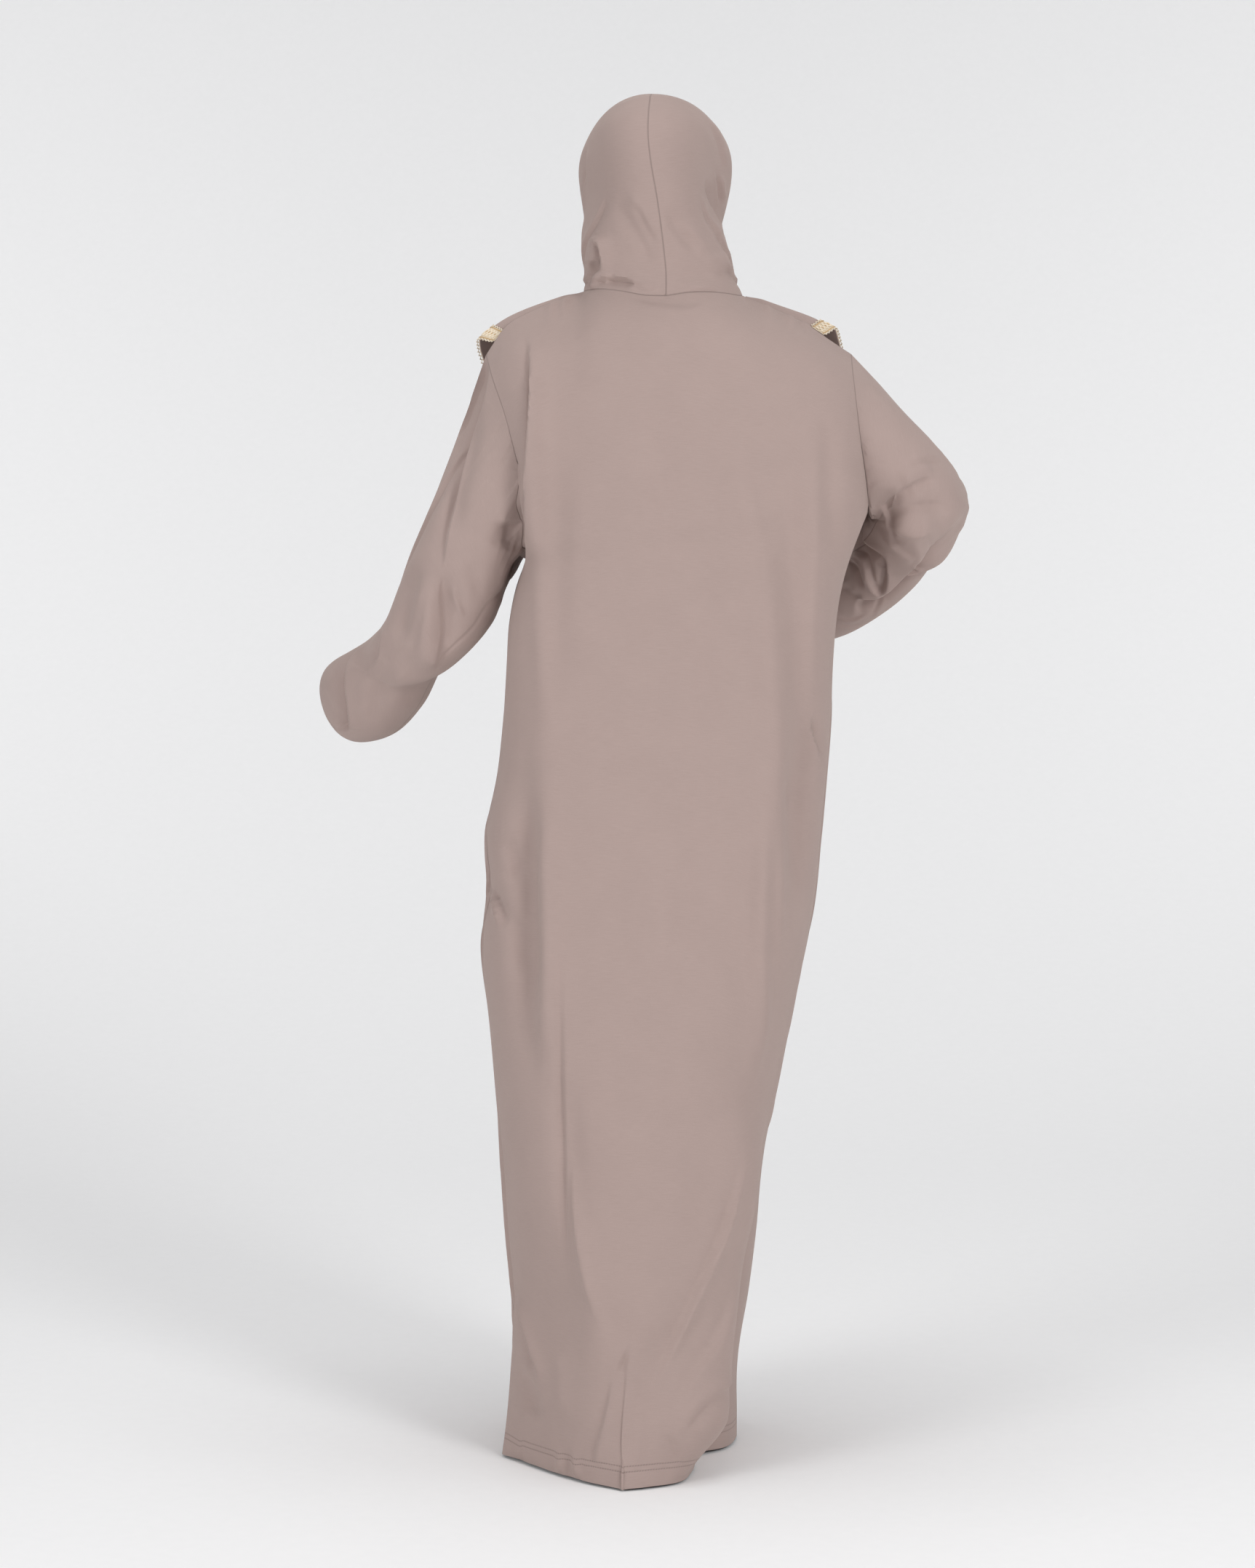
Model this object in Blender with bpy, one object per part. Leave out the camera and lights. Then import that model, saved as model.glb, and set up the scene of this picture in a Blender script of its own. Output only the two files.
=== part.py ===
"""Hooded prayer dress of cotton jersey, hollow and in the shape it takes when it is worn.

Metres, +Z up. The garment's front faces -Y, so its left side is at +X. The origin is at the
base of the neck, level with the top of the shoulders, where the wearer carries it.
"""

import math

import bpy
import numpy as np
from mathutils import Vector
from mathutils.bvhtree import BVHTree

# Driving dimensions
WALL = 0.0013
SEAM_GAP = 0.0003
HEM_Z = -1.410
BRAID_WIDTH = 0.017
BRAID_THICK = 0.0016
CAPE_CLEARANCE = 0.0030

# Grid counts, in quads
SHOULDER_LEFT = 7
NECK_BACK_HALF = 7
NECK_FRONT_HALF = 5
SHOULDER_RIGHT = 8
BACK_COLUMNS = SHOULDER_LEFT + 2 * NECK_BACK_HALF + SHOULDER_RIGHT
FRONT_COLUMNS = SHOULDER_LEFT + 2 * NECK_FRONT_HALF + SHOULDER_RIGHT
UPPER_ROWS = 11
SKIRT_ROWS = 28
SLEEVE_ROWS = 18
HOOD_ROWS = 15
CAPE_ROWS = 6

TAUPE = (0.43, 0.36, 0.325)
CREAM = (0.87, 0.79, 0.63)

# Body below the underarm, a row for each level: where its left and right sides are widest,
# how far its back and front stand out, and how square each corner of the section is.
BODY_COLUMNS = (
    "left_z", "left_x", "left_y", "right_z", "right_x", "right_y",
    "back_y", "front_y", "back_left", "back_right", "front",
)
BODY = [
    (-0.318, 0.160, 0.000, -0.262, -0.2537, 0.000, 0.134, -0.139, 3.4, 3.2, 2.8),
    (-0.350, 0.1720, 0.008, -0.310, -0.2330, 0.005, 0.1345, -0.140, 3.4, 3.2, 2.8),
    (-0.392, 0.1805, 0.016, -0.362, -0.2190, 0.005, 0.1355, -0.141, 3.2, 3.1, 2.7),
    (-0.445, 0.184, 0.020, -0.425, -0.2126, 0.005, 0.138, -0.143, 3.0, 3.0, 2.6),
    (-0.520, 0.189, 0.015, -0.500, -0.2095, 0.005, 0.141, -0.147, 2.9, 2.9, 2.5),
    (-0.590, 0.197, 0.010, -0.580, -0.2040, 0.005, 0.146, -0.151, 2.8, 2.8, 2.4),
    (-0.632, 0.2075, 0.008, -0.632, -0.1993, 0.005, 0.149, -0.154, 2.7, 2.7, 2.4),
    (-0.665, 0.2145, 0.005, -0.665, -0.1965, 0.005, 0.152, -0.156, 2.6, 2.7, 2.4),
    (-0.715, 0.208, 0.005, -0.715, -0.1920, 0.005, 0.156, -0.160, 2.6, 2.6, 2.4),
    (-0.786, 0.2155, 0.005, -0.786, -0.1812, 0.005, 0.162, -0.164, 2.5, 2.5, 2.4),
    (-0.880, 0.2068, 0.008, -0.880, -0.1615, 0.000, 0.169, -0.168, 2.4, 2.5, 2.4),
    (-0.970, 0.1990, 0.012, -0.970, -0.1445, -0.005, 0.176, -0.172, 2.3, 2.4, 2.3),
    (-1.045, 0.1925, 0.016, -1.045, -0.1318, -0.015, 0.182, -0.175, 2.2, 2.4, 2.3),
    (-1.150, 0.1850, 0.022, -1.150, -0.1215, -0.025, 0.190, -0.178, 1.85, 2.1, 2.3),
    (-1.222, 0.1775, 0.028, -1.222, -0.1125, -0.030, 0.197, -0.180, 1.6, 1.8, 2.3),
    (-1.313, 0.1810, 0.036, -1.313, -0.0985, -0.037, 0.209, -0.182, 1.36, 1.6, 2.3),
    (-1.380, 0.1870, 0.043, -1.380, -0.0985, -0.043, 0.217, -0.184, 1.15, 1.5, 2.3),
    (HEM_Z, 0.1910, 0.046, HEM_Z, -0.0985, -0.046, 0.220, -0.185, 1.07, 1.46, 2.3),
]

# Depth of the upper back and chest on the centre line, from the underarm up to the neck
DEPTH_COLUMNS = ("height", "back_y", "front_y")
DEPTH = [
    (0.00, 0.134, -0.139),
    (0.25, 0.1325, -0.1385),
    (0.50, 0.126, -0.133),
    (0.75, 0.108, -0.116),
    (0.90, 0.089, -0.099),
    (1.00, 0.071, -0.086),
]

NECK_REACH = 3

# Seam lines, each a smooth curve through its points (x, y, z)
ARMHOLE_BACK_LEFT = [
    (0.160, 0.000, -0.318), (0.159, 0.042, -0.301), (0.160, 0.068, -0.262),
    (0.164, 0.081, -0.222), (0.173, 0.084, -0.184), (0.184, 0.074, -0.145),
    (0.199, 0.045, -0.103), (0.2086, 0.000, -0.072),
]
ARMHOLE_FRONT_LEFT = [
    (0.160, 0.000, -0.318), (0.156, -0.042, -0.302), (0.156, -0.068, -0.262),
    (0.160, -0.080, -0.222), (0.168, -0.080, -0.180), (0.180, -0.068, -0.140),
    (0.196, -0.040, -0.100), (0.2086, 0.000, -0.072),
]
ARMHOLE_BACK_RIGHT = [
    (-0.2537, 0.000, -0.262), (-0.2515, 0.036, -0.248), (-0.2465, 0.060, -0.217),
    (-0.2398, 0.070, -0.174), (-0.2350, 0.062, -0.130), (-0.2325, 0.036, -0.094),
    (-0.2326, 0.000, -0.0712),
]
ARMHOLE_FRONT_RIGHT = [
    (-0.2537, 0.000, -0.262), (-0.2480, -0.036, -0.248), (-0.2380, -0.062, -0.215),
    (-0.2290, -0.070, -0.170), (-0.2260, -0.060, -0.128), (-0.2290, -0.035, -0.094),
    (-0.2326, 0.000, -0.0712),
]
SHOULDER_SEAM_LEFT = [
    (0.2086, 0.000, -0.072), (0.1995, 0.000, -0.058), (0.1900, 0.000, -0.044),
    (0.1770, 0.000, -0.0315), (0.1600, 0.000, -0.0225), (0.1400, 0.000, -0.0130),
    (0.1150, 0.000, -0.0035), (0.0905, 0.000, 0.004),
]
SHOULDER_SEAM_RIGHT = [
    (-0.1010, 0.000, -0.001), (-0.1320, 0.000, -0.0135), (-0.1580, 0.000, -0.0250),
    (-0.1770, 0.000, -0.0340), (-0.1900, 0.000, -0.0428), (-0.2080, 0.000, -0.0550),
    (-0.2326, 0.000, -0.0712),
]
NECK_BACK_LEFT = [
    (0.0905, 0.000, 0.004), (0.0840, 0.028, 0.004), (0.0670, 0.050, 0.004),
    (0.0450, 0.064, 0.001), (0.0180, 0.070, -0.004), (-0.0080, 0.071, -0.005),
]
NECK_BACK_RIGHT = [
    (-0.0080, 0.071, -0.005), (-0.0350, 0.069, -0.001), (-0.0600, 0.060, 0.000),
    (-0.0820, 0.043, -0.001), (-0.0950, 0.023, -0.002), (-0.1010, 0.000, -0.001),
]
NECK_FRONT_LEFT = [
    (0.0905, 0.000, 0.004), (0.0860, -0.030, -0.008), (0.0700, -0.057, -0.027),
    (0.0420, -0.079, -0.042), (0.0000, -0.086, -0.047),
]
NECK_FRONT_RIGHT = [
    (0.0000, -0.086, -0.047), (-0.0450, -0.079, -0.042), (-0.0800, -0.057, -0.029),
    (-0.0960, -0.030, -0.012), (-0.1010, 0.000, -0.001),
]

# Sleeves, a row for each section across the arm: its outer and inner points, how deep it is
# behind and before the line between them, and how square it is.
SLEEVE_COLUMNS = (
    "outer_x", "outer_y", "outer_z", "inner_x", "inner_y", "inner_z", "behind", "before", "square",
)
SLEEVE_LEFT = [
    (0.2086, 0.000, -0.072, 0.160, 0.000, -0.318, 0.082, 0.078, 2.4),
    (0.225, 0.000, -0.119, 0.173, -0.004, -0.330, 0.080, 0.074, 2.4),
    (0.250, -0.005, -0.188, 0.182, -0.006, -0.346, 0.078, 0.072, 2.4),
    (0.276, -0.010, -0.258, 0.189, -0.008, -0.361, 0.075, 0.070, 2.4),
    (0.306, -0.020, -0.328, 0.195, -0.012, -0.379, 0.071, 0.066, 2.4),
    (0.329, -0.038, -0.385, 0.210, -0.018, -0.407, 0.068, 0.062, 2.4),
    (0.344, -0.065, -0.407, 0.237, -0.030, -0.436, 0.066, 0.058, 2.3),
    (0.361, -0.096, -0.421, 0.273, -0.058, -0.460, 0.062, 0.054, 2.3),
    (0.382, -0.128, -0.434, 0.303, -0.090, -0.509, 0.058, 0.050, 2.3),
    (0.397, -0.155, -0.444, 0.337, -0.119, -0.541, 0.052, 0.044, 2.2),
    (0.4025, -0.172, -0.451, 0.364, -0.141, -0.549, 0.042, 0.038, 2.2),
    (0.404, -0.186, -0.459, 0.380, -0.164, -0.546, 0.031, 0.029, 2.0),
]
SLEEVE_RIGHT = [
    (-0.2326, 0.000, -0.0712, -0.2537, 0.000, -0.262, 0.070, 0.070, 2.4),
    (-0.260, 0.000, -0.100, -0.2600, -0.004, -0.263, 0.071, 0.071, 2.4),
    (-0.292, -0.008, -0.135, -0.2640, -0.006, -0.266, 0.072, 0.068, 2.4),
    (-0.325, -0.016, -0.170, -0.2650, -0.010, -0.270, 0.072, 0.064, 2.4),
    (-0.354, -0.028, -0.205, -0.2640, -0.018, -0.276, 0.071, 0.060, 2.4),
    (-0.377, -0.045, -0.232, -0.2610, -0.032, -0.284, 0.069, 0.056, 2.3),
    (-0.3695, -0.065, -0.2535, -0.2570, -0.048, -0.292, 0.064, 0.055, 2.3),
    (-0.3465, -0.090, -0.2775, -0.2510, -0.066, -0.300, 0.059, 0.055, 2.3),
    (-0.326, -0.122, -0.325, -0.2440, -0.092, -0.308, 0.054, 0.055, 2.3),
    (-0.303, -0.150, -0.362, -0.2370, -0.120, -0.316, 0.050, 0.051, 2.3),
    (-0.277, -0.174, -0.390, -0.2280, -0.148, -0.325, 0.047, 0.047, 2.2),
    (-0.245, -0.194, -0.412, -0.2140, -0.174, -0.337, 0.044, 0.044, 2.2),
    (-0.201, -0.212, -0.427, -0.1900, -0.198, -0.351, 0.040, 0.040, 2.2),
    (-0.159, -0.224, -0.432, -0.1640, -0.214, -0.362, 0.035, 0.035, 2.1),
    (-0.131, -0.230, -0.433, -0.1400, -0.223, -0.370, 0.029, 0.029, 2.0),
]

# Hood, a row for each line from its centre seam, past the side of the head, to its front edge.
# The first rows end at the seam under the chin, the others at the opening for the face.
HOOD_COLUMNS = (
    "seam_x", "seam_y", "seam_z", "left_x", "right_x", "side_y", "side_z",
    "edge_x", "edge_y", "edge_z",
)
HOOD = [
    (-0.008, 0.071, -0.005, 0.0905, -0.1010, 0.000, 0.004, 0.0000, -0.086, -0.047),
    (-0.008, 0.067, 0.022, 0.0900, -0.0920, -0.004, 0.028, 0.0000, -0.094, -0.024),
    (-0.005, 0.072, 0.052, 0.0935, -0.0845, -0.007, 0.054, 0.0000, -0.104, -0.002),
    (-0.001, 0.082, 0.083, 0.0918, -0.0772, -0.008, 0.080, 0.0340, -0.106, 0.014),
    (0.004, 0.092, 0.115, 0.0875, -0.0720, -0.006, 0.105, 0.0500, -0.102, 0.034),
    (0.010, 0.099, 0.148, 0.0892, -0.0728, -0.004, 0.130, 0.0600, -0.098, 0.055),
    (0.0135, 0.097, 0.180, 0.0918, -0.0765, -0.006, 0.152, 0.0660, -0.094, 0.076),
    (0.013, 0.084, 0.208, 0.0925, -0.0800, -0.012, 0.170, 0.0690, -0.092, 0.094),
    (0.011, 0.058, 0.2275, 0.0875, -0.0810, -0.024, 0.185, 0.0695, -0.091, 0.108),
    (0.009, 0.020, 0.238, 0.0775, -0.0765, -0.042, 0.192, 0.0690, -0.090, 0.119),
    (0.007, -0.024, 0.234, 0.0670, -0.0670, -0.062, 0.192, 0.0680, -0.0895, 0.128),
    (0.003, -0.062, 0.219, 0.0560, -0.0550, -0.079, 0.187, 0.0665, -0.0895, 0.1355),
    (0.000, -0.089, 0.196, 0.0440, -0.0440, -0.0905, 0.176, 0.0640, -0.0895, 0.142),
]

# Largest folds: the side they show on, their line there as (across, height), their half width,
# how far they stand out (or in, below zero), and how far their crest leans sideways.
BODY_FOLDS = [
    ("back", [
        (0.149, -0.045), (0.148, -0.12), (0.149, -0.20), (0.148, -0.27), (0.148, -0.325)
    ], 0.015, 0.008, 0.005),
    ("back", [(0.159, -0.520), (0.159, -0.69), (0.158, -0.86), (0.150, -0.97)], 0.020, -0.009, 0.0),
    ("back", [(0.128, -0.350), (0.134, -0.60), (0.133, -0.77), (0.133, -0.95)], 0.022, 0.006, 0.0),
    ("back", [
        (-0.145, -0.400), (-0.133, -0.60), (-0.130, -0.78), (-0.120, -0.92)
    ], 0.024, 0.008, 0.0),
    ("back", [(-0.172, -0.500), (-0.172, -0.62), (-0.165, -0.72)], 0.018, -0.008, 0.0),
    ("back", [(-0.086, -0.120), (-0.088, -0.30), (-0.086, -0.46)], 0.024, 0.005, 0.0),
    ("back", [(-0.188, -0.170), (-0.188, -0.31)], 0.022, 0.005, 0.0),
    ("back", [
        (0.113, -0.900), (0.110, -0.98), (0.106, -1.06), (0.099, -1.12), (0.088, -1.18)
    ], 0.018, -0.007, 0.0),
    ("back", [(0.098, -1.060), (0.086, -1.14), (0.072, -1.22), (0.058, -1.30)], 0.026, 0.009, 0.0),
    ("back", [
        (-0.104, -0.940), (-0.091, -1.03), (-0.073, -1.11), (-0.047, -1.18), (-0.010, -1.26)
    ], 0.024, 0.010, -0.004),
    ("back", [(0.175, -1.200), (0.162, -1.25), (0.152, -1.29), (0.137, -1.34)], 0.020, 0.006, 0.0),
    ("back", [(-0.020, -1.190), (0.010, -1.29), (0.035, -1.41)], 0.024, -0.007, 0.0),
    ("left", [(0.020, -0.640), (0.030, -0.70), (0.040, -0.76)], 0.022, -0.008, 0.0),
    ("right", [
        (0.036, -0.980), (0.044, -1.10), (0.056, -1.22), (0.066, -1.43)
    ], 0.036, -0.031, 0.0),
    ("right", [(0.100, -0.960), (0.116, -1.12), (0.142, -1.27), (0.168, -1.43)], 0.028, 0.013, 0.0),
    ("front", [(0.110, -0.420), (0.118, -0.80), (0.120, -1.43)], 0.026, 0.014, 0.0),
    ("front", [(0.058, -0.560), (0.062, -0.95), (0.070, -1.43)], 0.022, -0.012, 0.0),
    ("front", [(0.012, -0.430), (0.018, -0.85), (0.022, -1.43)], 0.026, 0.015, 0.0),
    ("front", [(-0.034, -0.600), (-0.026, -1.00), (-0.020, -1.43)], 0.020, -0.011, 0.0),
    ("front", [(-0.090, -0.470), (-0.076, -0.90), (-0.060, -1.43)], 0.024, 0.014, 0.0),
    ("front", [(-0.146, -0.420), (-0.126, -0.80), (-0.098, -1.20)], 0.022, -0.009, 0.0),
    ("front", [(0.166, -0.600), (0.160, -0.95), (0.160, -1.43)], 0.022, -0.010, 0.0),
]
SLEEVE_FOLDS = [
    ("back", [(0.216, -0.115), (0.231, -0.19), (0.243, -0.24), (0.254, -0.31)], 0.014, -0.009, 0.0),
    ("back", [(0.262, -0.330), (0.265, -0.39), (0.268, -0.44)], 0.016, -0.010, 0.0),
    ("back", [(0.285, -0.330), (0.284, -0.39), (0.288, -0.46)], 0.020, 0.011, -0.006),
    ("back", [(0.300, -0.320), (0.308, -0.36), (0.310, -0.43)], 0.015, -0.006, 0.0),
    ("back", [(0.345, -0.350), (0.347, -0.38), (0.350, -0.42)], 0.014, 0.006, 0.0),
    ("back", [(0.172, -0.270), (0.178, -0.31)], 0.020, -0.008, 0.0),
    ("back", [
        (-0.254, -0.262), (-0.285, -0.243), (-0.318, -0.222), (-0.342, -0.217)
    ], 0.012, -0.007, 0.0),
    ("back", [
        (-0.254, -0.264), (-0.285, -0.258), (-0.318, -0.253), (-0.358, -0.253)
    ], 0.012, -0.007, 0.0),
    ("back", [(-0.290, -0.232), (-0.330, -0.205)], 0.018, 0.005, 0.0),
    ("back", [(-0.275, -0.275), (-0.310, -0.288), (-0.340, -0.278)], 0.016, 0.006, 0.0),
    ("front", [(0.215, -0.150), (0.250, -0.26), (0.290, -0.36)], 0.022, 0.008, 0.0),
    ("front", [(0.250, -0.340), (0.290, -0.40)], 0.018, -0.008, 0.0),
    ("front", [(-0.296, -0.252), (-0.320, -0.245), (-0.350, -0.235)], 0.016, -0.006, 0.0),
    ("front", [(-0.330, -0.290), (-0.280, -0.345), (-0.230, -0.375)], 0.016, 0.006, 0.0),
]
HOOD_FOLDS = [
    ("back", [(0.074, 0.070), (0.070, 0.050), (0.074, 0.025)], 0.012, 0.005, 0.006),
    ("back", [(0.066, 0.016), (0.045, 0.011), (0.030, 0.008)], 0.010, -0.004, 0.0),
    ("back", [(-0.056, 0.135), (-0.066, 0.105), (-0.074, 0.080)], 0.012, -0.005, 0.0),
    ("back", [(-0.070, 0.050), (-0.082, 0.025)], 0.014, 0.004, 0.0),
    ("front", [(0.070, 0.050), (0.050, 0.005), (0.020, -0.024)], 0.014, 0.005, 0.0),
    ("front", [(-0.070, 0.045), (-0.048, 0.000), (-0.018, -0.026)], 0.014, 0.005, 0.0),
]
FOLD_ENDS = 0.30
SEAM_FOLLOW_ROWS = 5.0
SLEEVE_SEAM_ROWS = 5.0
HOOD_SEAM_ROWS = 3.0
HOOD_ROUNDNESS = (1.12, 1.08)
CHIN_HALF_WIDTH = 0.004

# Front cape: its hem from the left shoulder round the chest to the right one
CAPE_HEM = [
    (0.1980, -0.004, -0.0545), (0.1930, -0.046, -0.098), (0.1820, -0.090, -0.170),
    (0.1500, -0.130, -0.236), (0.0850, -0.150, -0.276), (-0.0100, -0.155, -0.290),
    (-0.1050, -0.150, -0.270), (-0.1740, -0.128, -0.224), (-0.2080, -0.088, -0.162),
    (-0.2090, -0.042, -0.094), (-0.1990, -0.004, -0.0465),
]
CAPE_COLUMNS = 30
CAPE_ROW_CROWDING = 1.35
CAPE_END_STEPS = (0.0, 0.006, 0.014, 0.026)
CAPE_MIDDLE_START = 0.042
CAPE_WAVES = 6.0
CAPE_WAVE_HEIGHT = 0.0050
CAPE_FLARE = 0.0060
CAPE_END_PUFFS = (0.0090, 0.0050)
CAPE_END_SPAN = 0.055
CAPE_SHOULDER_PUFF = 0.0050
CAPE_SHOULDER_SPAN = 0.110
CAPE_NECK_SPREAD = 1.03
CAPE_SEAM_SHARE = 0.018
CAPE_PUFF_PLACE = 0.03
CAPE_SEWN_GAP = 0.0012
BELOW_NECK_SEAM = np.array([0.0, -0.004, -0.004])
CHEST_SWELL = np.array([0.0, -0.03, 0.01])
OUTSIDE_THE_CHEST = np.array([0.0, -0.2, 0.1])


def clear_scene():
    for thing in list(bpy.data.objects):
        bpy.data.objects.remove(thing, do_unlink=True)


def fabric_material(name, colour, roughness):
    material = bpy.data.materials.new(name)
    material.use_nodes = True
    shader = material.node_tree.nodes["Principled BSDF"]
    shader.inputs["Base Color"].default_value = (*colour, 1.0)
    shader.inputs["Roughness"].default_value = roughness
    shader.inputs["Metallic"].default_value = 0.0
    return material


def smoothstep(value):
    t = np.clip(value, 0.0, 1.0)
    return t * t * (3.0 - 2.0 * t)


def through(stations, rows, places):
    """Smooth curve through a table's rows, read at the places asked for."""
    stations = np.asarray(stations, float)
    rows = np.asarray(rows, float)
    places = np.asarray(places, float)
    slopes = np.gradient(rows, stations, axis=0)
    first = np.clip(np.searchsorted(stations, places, side="right") - 1, 0, len(stations) - 2)
    step = (stations[first + 1] - stations[first])[:, None]
    t = (places - stations[first])[:, None] / step
    return (
        (2 * t**3 - 3 * t**2 + 1) * rows[first]
        + (t**3 - 2 * t**2 + t) * step * slopes[first]
        + (3 * t**2 - 2 * t**3) * rows[first + 1]
        + (t**3 - t**2) * step * slopes[first + 1]
    )


def lengths(points):
    """Distance along a line at each of its points."""
    steps = np.linalg.norm(np.diff(np.asarray(points, float), axis=0), axis=1)
    return np.concatenate([[0.0], np.cumsum(steps)])


def seam_curve(points, count):
    """Points spaced evenly along the smooth curve of a seam."""
    stations = lengths(points)
    fine = through(stations, points, np.linspace(0.0, stations[-1], 40 * count + 1))
    run = lengths(fine)
    even = np.linspace(0.0, run[-1], count + 1)
    return np.stack([np.interp(even, run, fine[:, axis]) for axis in range(3)], axis=1)


def power(value, square):
    """Superellipse term: a cosine or sine drawn out towards a square corner."""
    return np.sign(value) * np.abs(value) ** (2.0 / square)


def body_ring(level):
    """One level of the skirt: the back's points from left to right, then the front's back again."""
    row = dict(zip(BODY_COLUMNS, level))
    centre = 0.5 * (row["left_x"] + row["right_x"])
    parts = (
        (BACK_COLUMNS, "left", "right", row["back_y"], row["back_left"], row["back_right"]),
        (FRONT_COLUMNS, "right", "left", row["front_y"], row["front"], row["front"]),
    )
    ring = []
    for columns, start, end, depth, square_start, square_end in parts:
        for angle in np.linspace(0.0, math.pi, columns + 1)[:-1]:
            side, square = (start, square_start) if angle <= math.pi / 2 else (end, square_end)
            across = abs(power(math.cos(angle), square))
            deep = power(math.sin(angle), square)
            side_x, side_y = row[side + "_x"], row[side + "_y"]
            ring.append((centre + (side_x - centre) * across, side_y + (depth - side_y) * deep))
    ring = np.array(ring)
    share = (row["left_x"] - ring[:, 0]) / (row["left_x"] - row["right_x"])
    height = row["left_z"] + (row["right_z"] - row["left_z"]) * share
    return np.column_stack([ring, height])


def skirt():
    """Rings from the underarm down to the hem, as rows by columns by xyz."""
    table = np.array(BODY)
    stations = -(table[:, 0] + table[:, 3]) / 2
    levels = through(stations, table, np.linspace(stations[0], stations[-1], SKIRT_ROWS + 1))
    return np.array([body_ring(level) for level in levels])


def upper_half(bottom, top, start, end, depth_column):
    """Back or chest from the underarm row up to the shoulder seams and the neck.

    Its sides are the armholes. Between them each row bulges to the depth table's value, and
    takes on the shape of the neck and shoulder seams only near the top.
    """
    rows, columns = len(start), len(bottom)
    across = np.linspace(0.0, 1.0, columns)[None, :]
    height = np.linspace(0.0, 1.0, rows)[:, None]
    table = np.array(DEPTH)
    middle = through(table[:, 0], table[:, [depth_column]], height[:, 0])
    grid = np.zeros((rows, columns, 3))
    for axis in (0, 2):
        plain = (1 - height) * bottom[None, :, axis] + height * top[None, :, axis]
        ends = [side[:, axis][:, None] for side in (start, end)]
        flat = [(1 - height) * side[0] + height * side[-1] for side in ends]
        grid[:, :, axis] = plain + (1 - across) * (ends[0] - flat[0]) + across * (ends[1] - flat[1])
    edge = (1 - across) * start[:, 1][:, None] + across * end[:, 1][:, None]
    low = bottom[None, :, 1] / middle[0]
    high = [top[:, 1] / middle[-1]]
    for _ in range(rows - 1):
        softer = high[-1].copy()
        softer[1:-1] = 0.25 * softer[:-2] + 0.5 * softer[1:-1] + 0.25 * softer[2:]
        high.append(softer)
    swell = low + (np.array(high[::-1]) - low) * height**NECK_REACH
    grid[:, :, 1] = edge + (middle - edge) * swell
    return grid


def sleeve(loop, table, flip_depth):
    """Tube of sections from the armhole to the open wrist."""
    table = np.array(table)
    centres = 0.5 * (table[:, 0:3] + table[:, 3:6])
    outer_run = lengths(table[:, 0:3])
    stations = 0.5 * (lengths(centres) + outer_run)
    places = np.linspace(0.0, stations[-1], SLEEVE_ROWS + 1)
    sections = through(stations, table, places)
    paths = np.gradient(0.5 * (sections[:, 0:3] + sections[:, 3:6]), places, axis=0)
    angles = np.linspace(0.0, 2 * math.pi, len(loop), endpoint=False)
    rows = []
    for section, path in zip(sections, paths):
        row = dict(zip(SLEEVE_COLUMNS, section))
        outer, inner = section[0:3], section[3:6]
        half = 0.5 * (outer - inner)
        depth = np.cross(path, half) * flip_depth
        depth /= np.linalg.norm(depth)
        along = power(np.cos(angles), row["square"])[:, None]
        aside = power(np.sin(angles), row["square"])[:, None]
        reach = np.where(aside > 0, row["behind"], row["before"])
        rows.append(0.5 * (outer + inner) - half * along + depth * reach * aside)
    rows = np.array(rows)
    fade = 1.0 - smoothstep(np.arange(SLEEVE_ROWS + 1) / SLEEVE_SEAM_ROWS)
    return rows + (loop - rows[0])[None] * fade[:, None, None]


def bend(start, middle, end, start_way, counts):
    """Rounded curve through three points, leaving the first in a given direction."""
    chord_one, chord_two = middle - start, end - middle
    size_one, size_two = np.linalg.norm(chord_one), np.linalg.norm(chord_two)
    pass_way = (end - start) / np.linalg.norm(end - start)
    turn = chord_two / size_two
    end_way = 2 * np.dot(turn, pass_way) * turn - pass_way
    reach_one, reach_two = size_one * HOOD_ROUNDNESS[0], size_two * HOOD_ROUNDNESS[1]
    legs = (
        (start, middle, start_way * reach_one, pass_way * reach_one, counts[0]),
        (middle, end, pass_way * reach_two, end_way * reach_two, counts[1]),
    )
    points = []
    for a, b, leave, arrive, count in legs:
        for t in np.linspace(0.0, 1.0, count + 1)[:-1]:
            points.append(
                (2 * t**3 - 3 * t**2 + 1) * a
                + (t**3 - 2 * t**2 + t) * leave
                + (3 * t**2 - 2 * t**3) * b
                + (t**3 - t**2) * arrive
            )
    return np.array(points + [end])


def hood_half(neck, side):
    """Half of the hood, from the neck seam up and over the head. Side is +1 left, -1 right."""
    table = np.array(HOOD)
    stations = lengths(table[:, 0:3])
    levels = through(stations, table, np.linspace(0.0, stations[-1], HOOD_ROWS + 1))
    rows = []
    for level in levels:
        row = dict(zip(HOOD_COLUMNS, level))
        side_x = row["left_x"] if side > 0 else row["right_x"]
        start = level[0:3]
        middle = np.array([side_x, row["side_y"], row["side_z"]])
        end = np.array([max(row["edge_x"], 0.0) * side, row["edge_y"], row["edge_z"]])
        counts = (NECK_BACK_HALF, NECK_FRONT_HALF)
        rows.append(bend(start, middle, end, np.array([side, 0.0, 0.0]), counts))
    rows = np.array(rows)
    under_chin = stations_below_chin(levels)
    rows[:under_chin, -1, 0] = 0.0
    fade = 1.0 - smoothstep(np.arange(HOOD_ROWS + 1) / HOOD_SEAM_ROWS)
    return rows + (neck - rows[0])[None] * fade[:, None, None]


def stations_below_chin(levels):
    """How many rows of the hood meet at the seam under the chin."""
    edge = HOOD_COLUMNS.index("edge_x")
    return int(np.sum(levels[:, edge] < CHIN_HALF_WIDTH))


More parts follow.
